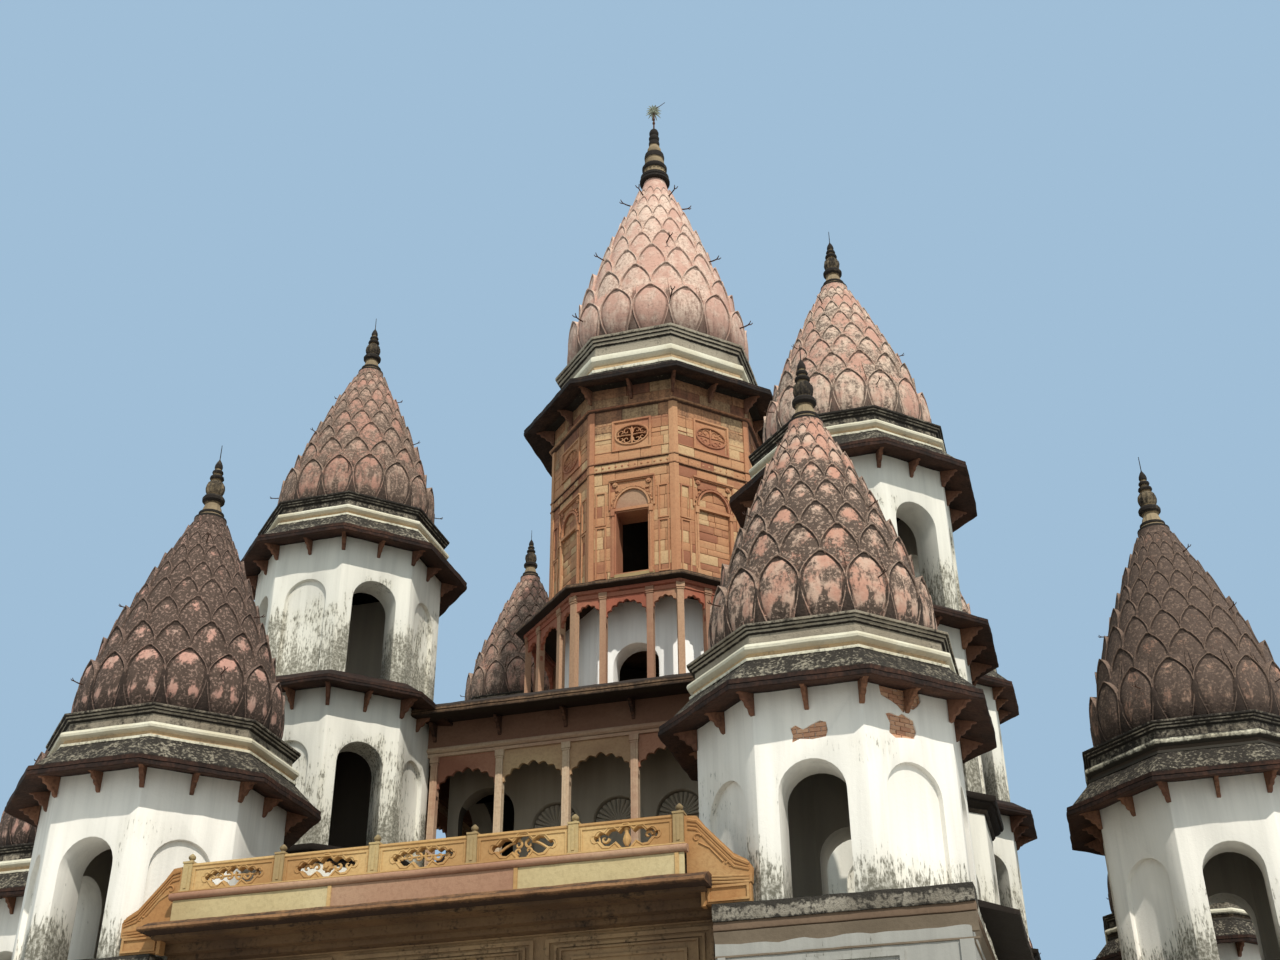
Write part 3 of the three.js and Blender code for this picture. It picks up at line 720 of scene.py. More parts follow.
def lotus_plaster(name, pink, pale, lichen, cover, foot_cover, crown_cover=0.0, heart=0.2, line=0.8,
                  sharp=0.06, fleck=0.3, foot_shade=1.0, rim=0.4, upper_heart=1.0):
    """Cover is the share of lichen, where 0 is half, and foot_cover that of the bottom row.
    Crown_cover is added near the top. Line is how dark the band under each lip and the gaps are,
    with painted shade, and fleck how many pale flecks the lichen has. Rim is how much painted
    highlight the lit lip gets, and the foot tone is how much light a painted shade leaves on the
    bottom rows. Upper_heart is the share of the clean hearts in the upper rows."""
    material, pen, masks = started(name, 1.6, 0.9)
    pink, pale, lichen = rgb(*pink), rgb(*pale), rgb(*lichen)
    edge, lip_light, rise, tint = (pen.attribute(word) for word in ("edge", "rim", "rise", "tint"))
    blots = pen.noise(pen.place(), 3.6, 5.0, 0.62)
    freckles = pen.noise(pen.place(), 17.0, 6.0, 0.74)
    flecks = pen.noise(pen.place(), 27.0, 3.0, 0.60)
    fade = pen.ramp(pen.plus(blots, pen.times(tint, 0.20)), 0.45, 0.75)
    plaster = pen.mix(fade, pink, pale)
    spotted = pen.mix(pen.ramp(freckles, 0.50, 0.68, 0.0, 0.5), plaster, darker(pink, 0.55))
    level = lotus_lichen(
        pen, rise, blots, freckles, cover, foot_cover, crown_cover, heart, upper_heart)
    mask = pen.ramp(level, 0.53 - sharp, 0.53 + sharp)
    dark = pen.mix(pen.ramp(freckles, 0.40, 0.62), darker(lichen, 0.75), lichen)
    dirty = pen.mix(pen.ramp(flecks, 0.53, 0.62, 0.0, fleck), dark, pale)
    colour = pen.mix(mask, spotted, dirty)
    # Painted highlight on the lit lip, then painted shade in the band under it and, with lichen, in the
    # gaps.
    lip_lit = pen.mix(pen.times(lip_light, rim), colour, pale)
    lichen_and_shade_lined = pen.mix(pen.ramp(edge, 0.25, 0.75, 0.0, line), lip_lit, darker(lichen, 0.30))
    # Painted shade over the bottom rows, darker towards the foot of the bud.
    low = pen.mix(pen.ramp(rise, 0.0, 0.17, 1.0, 0.0), lichen_and_shade_lined, grey(foot_shade), "MULTIPLY")
    relief = pen.plus(masks["Relief"], pen.times(mask, 0.30))
    return ended(material, pen, low, relief, 0.6, 0.022)


SALMON_LOTUS = lotus_plaster(
    "salmon lotus", (184, 138, 118), (194, 166, 146), (94, 79, 69), 0.12, 0.01, -0.10,
    heart=0.24, line=0.9, sharp=0.06, fleck=0.55, foot_shade=0.80)
PALE_LOTUS = lotus_plaster(
    "pale lotus", (186, 144, 126), (208, 184, 163), (112, 95, 84), 0.0, -0.03, -0.03,
    heart=0.08, sharp=0.08, fleck=0.7, foot_shade=0.85)
ROSE_LOTUS = lotus_plaster(
    "rose lotus", (190, 151, 134), (216, 190, 171), (142, 112, 98), -0.08, -0.05, -0.02,
    heart=0.03, line=0.70, sharp=0.12, fleck=0.4, foot_shade=0.55)
TAN_LOTUS = lotus_plaster(
    "tan lotus", (170, 128, 111), (182, 156, 137), (104, 87, 76), 0.055, 0.045, -0.02,
    heart=0.12, sharp=0.09, fleck=0.55, foot_shade=0.7)
BROWN_LOTUS = lotus_plaster(
    "dark brown lotus", (188, 143, 127), (188, 156, 140), (86, 71, 62), 0.18, 0.12, -0.02,
    heart=0.33, sharp=0.06, fleck=0.36, foot_shade=0.58, rim=0.22, upper_heart=0.5)
UMBER_LOTUS = lotus_plaster(
    "umber lotus", (168, 128, 108), (172, 144, 124), (92, 77, 68), 0.18, 0.11, -0.04,
    heart=0.18, sharp=0.07, fleck=0.26, foot_shade=0.55, rim=0.30, upper_heart=0.35)
LOTUS_FINISH = {
    "lotus_front_right": SALMON_LOTUS,
    "lotus_right_front": UMBER_LOTUS,
    "lotus_right_rear": UMBER_LOTUS,
    "high_lotus_front_right": PALE_LOTUS,
    "high_lotus_front_left": TAN_LOTUS,
    "high_lotus_rear_left": TAN_LOTUS,
    "high_lotus_rear_right": PALE_LOTUS,
    "central_lotus": ROSE_LOTUS,
}


# %% [markdown]
# ### Sandstone and painted render
# The central tower is laid in blocks of buff, orange and rust sandstone. A block's colour
# comes from the tint that its copy drew, so neighbours differ as they do in the wall.

# %% Sandstone
def sandstone(name, buff, orange, rust, soot, amount=0.0):
    """Three stone colours, by tint, and how much soot lies all over."""
    material, pen, masks = started(name)
    buff, rust = rgb(*buff), rgb(*rust)
    veins = pen.noise(pen.stretched(pen.place(), 4.0), 3.2, 5.0, 0.6)
    hue = pen.plus(pen.times(pen.attribute("tint"), 0.86), pen.times(veins, 0.28))
    warm = pen.mix(pen.ramp(hue, 0.20, 0.52), buff, rgb(*orange))
    stone = pen.mix(pen.ramp(hue, 0.66, 0.94), warm, rust)
    worn = pen.mix(pen.ramp(masks["Patches"], 0.45, 0.75, 0.0, 0.4), stone, buff)
    grain = pen.mix(pen.ramp(masks["Specks"], 0.40, 0.75, 0.0, 0.35), worn, darker(rust, 0.7))
    rain = pen.plus(pen.times(masks["Runs"], 0.4), pen.times(masks["Specks"], 0.3))
    level = pen.plus(pen.attribute("soot"), rain, amount)
    colour = pen.mix(pen.ramp(level, 0.52, 0.9), grain, rgb(*soot))
    return ended(material, pen, colour, masks["Relief"], 0.45, 0.014)


BLOCK_STONE = sandstone(
    "sandstone blocks", (192, 160, 120), (180, 132, 96), (148, 98, 74), (80, 62, 52))
TRIM_STONE = sandstone(
    "sandstone trim", (184, 140, 104), (176, 126, 92), (158, 106, 80), (76, 58, 48), 0.04)
RED_RENDER = sandstone(
    "red ochre render", (160, 104, 82), (160, 94, 73), (142, 82, 64), (80, 56, 46), 0.04)
POST_STONE = sandstone(
    "brown pink posts", (206, 186, 156), (196, 170, 141), (170, 134, 110), (84, 68, 56), 0.03)
RING_POST = sandstone(
    "brown ring posts", (176, 142, 114), (162, 126, 101), (146, 108, 87), (80, 62, 52), 0.05)
TAN_PANEL = sandstone(
    "tan panels", (188, 158, 120), (176, 142, 108), (154, 120, 92), (84, 68, 54), 0.03)
FRINGE_STONE = sandstone(
    "pink brown panels", (168, 128, 100), (160, 114, 90), (140, 94, 74), (84, 64, 52), 0.03)
FASCIA_STONE = sandstone(
    "brown shaded fascia", (146, 116, 94), (136, 102, 82), (122, 88, 70), (72, 55, 45), 0.06)
OCHRE_STONE = sandstone(
    "golden ochre stone", (192, 160, 110), (180, 143, 93), (160, 121, 78), (80, 60, 43), 0.03)
YELLOW_BAND = sandstone(
    "pale yellow band", (192, 176, 136), (184, 166, 124), (170, 150, 110), (90, 76, 56), 0.03)
PINK_BAND = sandstone(
    "dusty pink band", (166, 134, 108), (158, 122, 98), (146, 108, 86), (82, 62, 52), 0.05)
WING_STONE = sandstone(
    "orange ochre wings", (172, 136, 92), (162, 118, 74), (146, 98, 62), (78, 57, 42), 0.05)
KNOB_STONE = sandstone(
    "pale yellow posts", (176, 154, 110), (164, 141, 100), (148, 126, 90), (80, 70, 56), 0.05)
BRICK = sandstone("bare brick", (208, 166, 134), (196, 148, 116), (176, 124, 98), (96, 70, 58))
print("finishes:", len(bpy.data.materials))

# %% [markdown]
# ## Lotus spires
# Each spire is a closed lotus bud. Sixteen petals stand side by side in every row, and each
# row is turned half a petal against the row below, as the scales of a pine cone are. A petal
# lies flush at its foot and stands proud at its hooded tip. Geometry Nodes copy one mesh onto
# rows whose place, lean and size follow the outline of the bud.

# %% One petal
PETALS = 16
PETAL_STEP = math.tau / PETALS
PETAL_BEND = PETAL_STEP / 2  # how a petal one unit wide bends round the bud
# The lip, out to SHADE, gets a painted highlight, and the band from SHADE to FADE a painted shade.
LIP, SHADE, FADE, INSIDE = 0.020, 0.036, 0.082, 0.110  # bands along a petal's outline
BANDS = (0.0, LIP, SHADE, FADE, INSIDE)
TIP_SHARE = 0.66  # the bands are wider over the tip
WHOLE_ROWS = [0, 0.16, 0.32, 0.46, 0.58, 0.68, 0.77, 0.85]
SCALE_ROWS = [0, 0.42, 0.68, 0.78, 0.86]
PETAL_BACK = 0.22  # how far a petal's closed back lies inside the bud
HEART, HEART_Z = (0.38, 0.15), 0.84  # half width and height of the clean heart below the tip
LOW_HEART, LOW_HEART_X, LOW_HEART_Z = (0.19, 0.17), 0.24, 0.34
STAIN, STAIN_Z, STAIN_DEPTH = (0.19, 0.27), 0.15, 1.4


def nearness(x, z, size):
    """1 at the middle of an oval of a given half width and height, and 0 or less at its edge."""
    return 1 - math.hypot(x / size[0], z / size[1])


def heart_at(x, v, whole):
    """How clean a petal is: below its tip, and on a whole petal beside its stained foot."""
    hearts = [nearness(x, v - HEART_Z, HEART)]
    if not whole:
        return max(0.0, *hearts)
    hearts += [nearness(x - side * LOW_HEART_X, v - LOW_HEART_Z, LOW_HEART) for side in (-1, 1)]
    return max(0.0, *hearts) - STAIN_DEPTH * max(0.0, nearness(x, v - STAIN_Z, STAIN))


def petal_rows(whole, tall, half_at, spot):
    """Rows of points across a petal, each with the bands along both of its rims."""
    up = (WHOLE_ROWS if whole else SCALE_ROWS) + [1 - band / tall for band in BANDS[:0:-1]]
    rows = []
    for v in up:
        half = half_at(v)
        squeeze = min(1.0, half / 0.19)
        steps = [band * squeeze for band in BANDS]
        if whole:
            steps.append((half + INSIDE * squeeze) / 2)
        line = [(half - step, step) for step in steps] + [(0.0, half)]
        row = [spot(-x, v, side) for x, side in line]
        rows.append(row + [spot(x, v, side) for x, side in line[-2::-1]])
    return rows


def petal(foot, waist, tip, belly, hood, slender, rim=0.03, crease=0.0, whole=False, point=2.5):
    """A petal one unit wide and high that faces -Y, for a row whose petals are slender times as
    high as wide. It swells by belly, lifts off by hood at its tip and has a curled lip. Its
    attributes mark the lip for a painted highlight, the band below the lip and the closed back
    for a painted shade, and the clean hearts. A whole petal shows its painted marks down to its
    foot, and the others only on their tips. A low point makes a sharper tip."""
    tall = slender * TIP_SHARE
    bm = bmesh.new()
    layers = {name: bm.verts.layers.float.new(name) for name in ("edge", "rim", "heart")}

    def half_at(v):
        if v < waist:
            return (foot + (1 - foot) * math.sin(math.pi / 2 * v / waist)) / 2
        return (1 - ((v - waist) / (1 - waist)) ** point) ** tip / 2

    def spot(x, v, to_side):
        to_rim = min(to_side, (1 - v) * tall)
        lifted = max(0.0, (v - 0.12) / 0.88) ** 2.2
        # Curled marks the lip, which gets a painted highlight, and line the band under it, which gets a
        # painted shade.
        curled = 1.0 if to_rim < SHADE * 0.98 else 0.0
        line = 1.0 if SHADE * 0.98 <= to_rim <= FADE * 1.02 else 0.0
        shown = max(0.55, (v - 0.55) / 0.30) if whole else max(0.0, (v - 0.68) / 0.22)
        shown = min(1.0, shown)
        swell = belly * math.sin(math.pi * v ** 0.8) * (1 - 1.2 * x * x)
        fold = crease * max(0.0, 1 - abs(x) / 0.12) * min(1.0, (1 - v) * 3)
        body = hood * lifted + 0.02
        lip = rim * curled * min(1.0, 2.2 * v)
        y = PETAL_BEND * x * x - swell - body - lip + 0.015 * line + fold
        vert = bm.verts.new((x, y, v))
        vert[layers["edge"]] = shown * line
        vert[layers["rim"]] = shown * curled
        vert[layers["heart"]] = heart_at(x, v, whole)
        return vert

    rows = petal_rows(whole, tall, half_at, spot)
    top = spot(0.0, 1.0, 0.0)
    for lower, upper in zip(rows, rows[1:]):
        for j in range(len(lower) - 1):
            bm.faces.new((lower[j], lower[j + 1], upper[j + 1], upper[j]))
    for left, right in zip(rows[-1], rows[-1][1:]):
        bm.faces.new((left, right, top))
    outline = rows[0] + [row[-1] for row in rows[1:]] + [top] + [row[0] for row in rows[:0:-1]]
    inner = []
    for vert in outline:
        back = bm.verts.new((vert.co.x * 0.97, PETAL_BACK, min(vert.co.z, 0.98)))
        # Painted shade on the back of the petal, where it shows between its neighbours.
        back[layers["edge"]] = 1.0 if whole or vert.co.z > 0.5 else 0.0
        inner.append(back)
    for i, vert in enumerate(outline):
        j = (i + 1) % len(outline)
        bm.faces.new((outline[j], vert, inner[i], inner[j]))
    bm.faces.new(inner)
    return closed(bm)


OUTER_PETAL = petal(0.50, 0.58, 1.0, 0.22, 0.17, 1.45, crease=0.05, whole=True, point=2.1)
SCALE_PETAL = petal(0.94, 0.62, 0.92, 0.02, 0.20, 2.2)
FLAT_PETAL = petal(0.94, 0.62, 0.92, 0.01, 0.15, 2.1, rim=0.020)

# %% Drops between the petals
DROP_PROFILE = [
    (0.0, 0.0), (0.18, 0.0), (0.38, 0.08), (0.48, 0.18), (0.50, 0.30),
    (0.46, 0.48), (0.35, 0.68), (0.19, 0.87), (0.07, 0.97), (0.0, 1.0),
]
DROP_DEEP = 0.4  # how deep a drop is, over its width
# The drops sit in the gaps between the low petals and carry most of the dark line's colour, lichen and
# painted shade.
DROP_SHADE = 0.72  # how much of the dark line's colour it has
DROP = turned(DROP_PROFILE, 10)
DROP.transform(Matrix.Diagonal((1.0, DROP_DEEP, 1.0, 1.0)))
point_values(DROP, "edge", lambda co: DROP_SHADE)
for name, mesh in (("outer", OUTER_PETAL), ("scale", SCALE_PETAL), ("drop", DROP)):
    print(name, "triangles:", sum(len(face.vertices) - 2 for face in mesh.polygons))

# %% [markdown]
# The outline of the bud is nearly a straight cone above its widest ring. The tips of the rows
# stand at shares of its height that were measured on the two nearest spires. They draw
# together towards the collar.

# %% Rows of petals
BUD_OUTLINE = [(0.0, 0.93), (0.09, 1.0), (0.21, 0.93), (0.41, 0.74), (0.76, 0.40), (1.0, 0.14)]
ROW_TIPS = [0.215, 0.340, 0.457, 0.566, 0.666, 0.760, 0.845, 0.915]
FLAT_FROM = 6  # rows from this one up have flatter petals
PETAL_SHARE = 0.97  # the width of a petal, over its sixteenth of the row


def bud_reach(share):
    """The radius of the bud at a share of its height, over its widest radius."""
    for (a, first), (b, second) in zip(BUD_OUTLINE, BUD_OUTLINE[1:]):
        if share <= b:
            return first + (second - first) * (share - a) / (b - a)
    return BUD_OUTLINE[-1][1]


def petal_row(radius, height, foot, tip, sink, half_turn):
    """Spots for the sixteen petals of a row between two shares of the bud's height. The base
    plane of a petal lies sunk below the bud's outline."""
    low = radius * (bud_reach(foot) - sink)
    high = radius * (bud_reach(tip) - sink)
    rise = height * (tip - foot)
    lean = math.atan2(low - high, rise)
    broad = radius * bud_reach(foot + 0.55 * (tip - foot)) * math.tau / PETALS * PETAL_SHARE
    long = math.hypot(rise, low - high)
    spots = []
    for k in range(PETALS):
        turn = (k + half_turn) * math.tau / PETALS
        wobble = random.uniform(-0.012, 0.012)
        stretch = random.uniform(0.97, 1.03)
        place = around(low, turn, height * foot)
        spots.append((place, (-lean + wobble, 0.0, turn), (broad, broad, long * stretch)))
    return spots


def drops(radius, height):
    """Small drops between the petals of the bottom row, round below and pointed above."""
    low = radius * (bud_reach(0.01) - 0.05)
    high = radius * (bud_reach(0.15) - 0.03)
    lean = math.atan2(low - high, height * 0.14)
    wide = 0.34 * radius * math.tau / PETALS
    size = (wide, wide, height * 0.15)
    turns = [k * math.tau / PETALS for k in range(PETALS)]
    return [(around(low, turn, height * 0.005), (-lean, 0.0, turn), size) for turn in turns]


def bud_core(radius, height, collar):
    """The bud inside the petals, darkened by lichen and painted shade where it shows between the low ones.
    """
    body = [(0.0, -0.01 * height)]
    for k in range(PETALS):
        sink = 0.05 + 0.02 * (k < 4)
        body.append((radius * (bud_reach(k / PETALS) - sink), height * k / PETALS))
    body += [(radius * (bud_reach(collar) - 0.03), height * collar), (0.0, height * collar)]
    return point_values(turned(body, 32), "edge", lambda co: 0.8 if co.z < 0.19 * height else 0.0)


def lotus(radius, height, collar, lift, finish, seed):
    """Bud with its petals, standing on z = 0, with its share of height kept as rise. The
    finial's collar sits at a share of the height, and lift raises the tips of the low rows."""
    random.seed(seed)
    tips = [tip + lift * (1 - i / len(ROW_TIPS)) for i, tip in enumerate(ROW_TIPS)]
    outer = petal_row(radius, height, 0.0, tips[0], 0.055, 0.5)
    scales = []
    flat = []
    for i in range(1, len(tips)):
        foot = tips[i - 2] - 0.075 if i > 1 else 0.05
        spots = petal_row(radius, height, foot, tips[i], 0.05, 0.5 * ((i + 1) % 2))
        (flat if i >= FLAT_FROM else scales).extend(spots)
    mesh = united(
        bud_core(radius, height, collar),
        copied(OUTER_PETAL, outer, finish, seed),
        copied(SCALE_PETAL, scales, finish, seed + 1),
        copied(FLAT_PETAL, flat, finish, seed + 2),
        copied(DROP, drops(radius, height), finish, seed + 3),
    )
    return risen(mesh, 0.0, height)


# %% [markdown]
# ## Finials
# A finial is turned stone: a collar of two discs, a fluted vase, a dish, a ribbed pot and a
# stack of smaller discs under an iron spike. It is one turned profile with fluted rings, and
# soot marks the rings, because the rain keeps the hollow ones pale.

# %% Finials of the towers
TOWER_PROFILE = [
    (0.0, 0.0), (0.26, 0.0), (0.285, 0.02), (0.285, 0.055), (0.255, 0.075), (0.225, 0.08),
    (0.225, 0.10), (0.212, 0.105), (0.225, 0.12), (0.225, 0.155), (0.195, 0.17), (0.172, 0.175),
    (0.178, 0.20), (0.160, 0.26), (0.132, 0.315), (0.122, 0.33), (0.165, 0.345), (0.196, 0.375),
    (0.200, 0.42), (0.176, 0.455), (0.120, 0.465), (0.112, 0.485), (0.138, 0.50), (0.162, 0.55),
    (0.172, 0.61), (0.160, 0.68), (0.122, 0.725), (0.072, 0.735), (0.072, 0.76), (0.110, 0.77),
    (0.128, 0.795), (0.120, 0.825), (0.085, 0.84), (0.060, 0.845), (0.060, 0.87), (0.088, 0.88),
    (0.100, 0.905), (0.092, 0.93), (0.062, 0.94), (0.050, 0.95), (0.050, 0.965), (0.068, 0.98),
    (0.074, 1.01), (0.066, 1.05), (0.042, 1.10), (0.016, 1.14), (0.009, 1.16), (0.006, 1.42),
    (0.0, 1.42),
]
PALE_RINGS = [
    (0.078, 0.11), (0.172, 0.34), (0.46, 0.49), (0.732, 0.765), (0.842, 0.872), (0.94, 0.97),
]
VASE, POT = (0.18, 0.30), (0.49, 0.72)
COLLAR_TOP = 0.17


def within(z, spans):
    return any(low < z < high for low, high in spans)


def finial_soot(co):
    if within(co.z, PALE_RINGS):
        return -0.02
    if within(co.z, [(0.49, 0.73)]):
        return 0.22
    return 0.42 if co.z < COLLAR_TOP else 0.32


TOWER_FINIAL = point_values(turned(TOWER_PROFILE, 24, [VASE, POT]), "soot", finial_soot)

# %% Finial of the central spire
CENTRAL_PROFILE = [
    (0.0, 0.0), (0.33, 0.0), (0.352, 0.02), (0.352, 0.07), (0.325, 0.085), (0.315, 0.10),
    (0.332, 0.12), (0.332, 0.19), (0.300, 0.21), (0.262, 0.22), (0.268, 0.26), (0.258, 0.34),
    (0.240, 0.37), (0.268, 0.385), (0.290, 0.42), (0.292, 0.48), (0.262, 0.53), (0.218, 0.545),
    (0.226, 0.58), (0.230, 0.66), (0.205, 0.70), (0.205, 0.72), (0.230, 0.75), (0.236, 0.82),
    (0.222, 0.90), (0.175, 0.94), (0.150, 0.96), (0.165, 1.00), (0.158, 1.08), (0.120, 1.16),
    (0.100, 1.19), (0.124, 1.21), (0.130, 1.27), (0.118, 1.33), (0.095, 1.35), (0.118, 1.38),
    (0.126, 1.44), (0.105, 1.50), (0.088, 1.52), (0.110, 1.56), (0.112, 1.62), (0.086, 1.69),
    (0.040, 1.74), (0.018, 1.75), (0.014, 2.15), (0.0, 2.15),
]
CENTRAL_PALE = [(0.21, 0.375), (0.53, 0.725), (0.95, 1.20)]
CENTRAL_FINIAL = turned(CENTRAL_PROFILE, 32, [(0.23, 0.35)])
point_values(CENTRAL_FINIAL, "soot", lambda co: -0.16 if within(co.z, CENTRAL_PALE) else 0.32)
print("finial triangles:", 2 * len(TOWER_FINIAL.polygons))

# %% [markdown]
# ## Cornices under the spires
# Below each bud lies an octagonal moulding: a sloping rough band over the eave, a fillet, a
# cream torus that rain never reaches, a shaded fascia and a slab with two blackened edges.

# %% Cornice mouldings
WHITE, TAN, OLIVE = 0, 1, 2
CORNICE_RINGS = [
    (1.50, 0.00, 0.25, OLIVE), (1.655, 0.00, 0.25, OLIVE), (1.675, 0.04, 0.12, WHITE),
    (1.675, 0.11, 0.05, TAN), (1.640, 0.13, 0.25, TAN), (1.625, 0.15, 0.10, TAN),
    (1.630, 0.24, 0.05, WHITE), (1.665, 0.26, 0.00, WHITE), (1.700, 0.31, -0.22, WHITE),
    (1.708, 0.37, -0.28, WHITE), (1.695, 0.43, -0.20, WHITE), (1.655, 0.475, 0.05, OLIVE),
    (1.612, 0.485, 0.30, OLIVE), (1.600, 0.52, 0.02, OLIVE), (1.598, 0.73, 0.02, OLIVE),
    (1.604, 0.75, 0.28, OLIVE), (1.630, 0.765, 0.20, OLIVE), (1.634, 0.79, -0.02, OLIVE),
    (1.638, 0.82, 0.00, OLIVE), (1.642, 0.83, 0.28, OLIVE), (1.664, 0.84, 0.20, OLIVE),
    (1.668, 0.86, -0.02, OLIVE), (1.670, 0.89, 0.00, OLIVE), (1.674, 0.90, 0.26, OLIVE),
    (1.698, 0.915, 0.10, OLIVE), (1.702, 0.97, 0.04, OLIVE), (1.665, 1.00, 0.40, OLIVE),
    (1.30, 1.01, 0.50, OLIVE),
]
TORUS_TOP = 0.48
BLACK_CORNICES = {"central_lotus": 0.0, "lotus_front_right": 0.0, "lotus_front_left": 0.07}
DULL_CORNICES = {"lotus_right_front": 0.42, "lotus_right_rear": 0.25}


def cornice(scale, base, top, black, dull):
    """Moulding between two heights. Its radii are those of a low tower, times the scale. Black
    is how much more soot lies on the upper half, and dull how much on the torus."""
    profile = []
    for radius, share, soot, _ in CORNICE_RINGS:
        more = black if share > TORUS_TOP else dull
        profile.append((radius * scale, base + (top - base) * share, soot + more))
    finish = [ring[3] for ring in CORNICE_RINGS]
    return ragged(carried(profile, 8, 10, finish), 0.006 * scale)


# %% Spires on every tower
TOWER_RADIUS, TOWER_TALL, TOWER_CORNICE = 1.49, 3.71, 0.40
CENTRAL_RADIUS, CENTRAL_TALL, CENTRAL_CORNICE = 2.045, 5.69, 0.87


def spire(node, radius, tall, cornice_scale, cornice_tall, collar, lift, finial, size, seed):
    """Bud, cornice and finial on one node. Collar is the share of the bud's height at which
    the finial stands, and size that of the finial in x, y and z."""
    x, y = axis_of(node)
    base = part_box(node)[0].z
    finish = LOTUS_FINISH.get(node, BROWN_LOTUS)
    flower = placed(lotus(radius, tall, collar, lift, finish, seed), x, y, base + cornice_tall)
    dressed(f"{node}_petals", flower, [finish], [node], 50)
    soot = (BLACK_CORNICES.get(node, 0.15), DULL_CORNICES.get(node, 0.0))
    moulding = placed(cornice(cornice_scale, -0.08, cornice_tall, *soot), x, y, base)
    finishes = [CORNICE_PLASTER, CORNICE_TAN, CORNICE_OLIVE]
    dressed(f"{node}_cornice", moulding, finishes, [node], 30)
    foot = base + cornice_tall + tall * collar - 0.02
    tip = united((finial, sized((x, y, foot), size)))
    dressed(f"{node}_finial", tip, [FINIAL_STONE], [node], 32)


TOWER_SPIRE = (TOWER_RADIUS, TOWER_TALL, 1.0, TOWER_CORNICE, 0.955, 0.04)
TOWER_SPIRE += (TOWER_FINIAL, (0.83, 0.83, 0.96))
CENTRAL_SPIRE = (CENTRAL_RADIUS, CENTRAL_TALL, 1.30, CENTRAL_CORNICE, 0.99, 0.0)
CENTRAL_SPIRE += (CENTRAL_FINIAL, (1.0, 1.0, 1.0))
for seed, place in enumerate(LOW):
    spire(f"lotus_{place}", *TOWER_SPIRE, 10 * seed + 1)
for seed, place in enumerate(HIGH):
    spire(f"high_lotus_{place}", *TOWER_SPIRE, 10 * seed + 101)
spire("central_lotus", *CENTRAL_SPIRE, 201)
print("spires done")

# %% [markdown]
# ## Tower walls
# A drum is a thick octagonal wall with arches. Low towers open to the four main directions
# and carry blind arches between, and the upper towers are turned the other way. The arches
# are cut with a boolean, and a small bevel gives the plaster its soft arrises.

# %% Arch outlines and drums
WALL_THICK = 0.50
ARCH_HALF = 0.375
BLIND_DEPTH = 0.07
PAST = 0.1  # how far a cutter reaches past the wall that it cuts
FACE = -WALL * CORNER


def round_arch(half, foot, head, x=0.0, steps=14):
    """The outline of a round-headed opening whose middle is at x."""
    angles = [math.pi * k / steps for k in range(steps + 1)]
    curve = [(x + half * math.cos(a), head - half + half * math.sin(a)) for a in angles]
    return [(x - half, foot), (x + half, foot)] + curve


def drum(height, head, open_sides, bevel=0.012, damage=()):
    """Octagonal walls on z = 0 with open arches in some sides and blind ones between."""
    inside = WALL - WALL_THICK / CORNER
    walls = carried([(WALL, 0), (WALL, height), (inside, height), (inside, 0)])
    opening = extruded(round_arch(ARCH_HALF, -0.1, head), FACE - PAST, FACE + WALL_THICK + PAST)
    niche = extruded(round_arch(ARCH_HALF, 0.02, head - 0.01), FACE - PAST, FACE + BLIND_DEPTH)
    blind_sides = DIAGONAL_SIDES if open_sides == MAIN_SIDES else MAIN_SIDES
    cutters = [round_octagon(opening, open_sides), round_octagon(niche, blind_sides), *damage]
    return risen(cut_away(walls, united(*cutters), bevel), 0.0, height)


EAVE_TALL = 0.43  # from the top of a drum to the foot of its spire
LOW_HEIGHT = LOW_EAVE - TERRACE - EAVE_TALL
HIGH_HEIGHT = HIGH_EAVE - UPPER_TERRACE - EAVE_TALL
MIDDLE_HEIGHT = UPPER_TERRACE - 0.25 - SECOND_FLOOR
LOW_ARCH_TALL, HIGH_ARCH_TALL = 1.50, 1.75
low_drum = lined(drum(LOW_HEIGHT, LOW_ARCH_TALL, MAIN_SIDES), 1)
high_drum = lined(drum(HIGH_HEIGHT, HIGH_ARCH_TALL, DIAGONAL_SIDES), 1)
middle_drum = lined(drum(MIDDLE_HEIGHT, HIGH_ARCH_TALL, DIAGONAL_SIDES), 1)
print("drum faces:", len(low_drum.polygons), len(high_drum.polygons))

# %% [markdown]
# ## Eaves and brackets
# A stone eave slopes out over each drum on carved brackets, one at every corner and one in
# the middle of every side. Its edge is two thin layers that weather has eaten into a ragged
# line, so the profile is carried round in short steps and pushed about by noise.

# %% Brackets
BRACKET_PROFILE = [
    (0.0, 0.02), (0.35, -0.055), (0.35, -0.085), (0.315, -0.10), (0.275, -0.095),
    (0.255, -0.12), (0.245, -0.165), (0.205, -0.175), (0.165, -0.19), (0.150, -0.235),
    (0.115, -0.26), (0.080, -0.265), (0.065, -0.30), (0.045, -0.345), (0.0, -0.365),
]
BRACKET_HALF = 0.03
bracket_section = [(-out, z) for out, z in BRACKET_PROFILE]
BRACKET = worn_edges(lengthways(bracket_section, -BRACKET_HALF, BRACKET_HALF), 0.006)


def brackets(radius, z, size, seed):
    """Brackets against the sides and corners of an octagon, below an eave at height z."""
    spots = []
    for k in range(8):
        turn = k * EIGHTH
        spots.append((around(radius * CORNER, turn, z), (0, 0, turn), (0.85, size, size)))
        turn += EIGHTH / 2
        spots.append((around(radius, turn, z), (0, 0, turn), (1.0, size * 1.12, size)))
    return painted(0, copied(BRACKET, spots, BRACKET_STONE, seed))


# %% Eaves
EAVE_REACH = 0.46


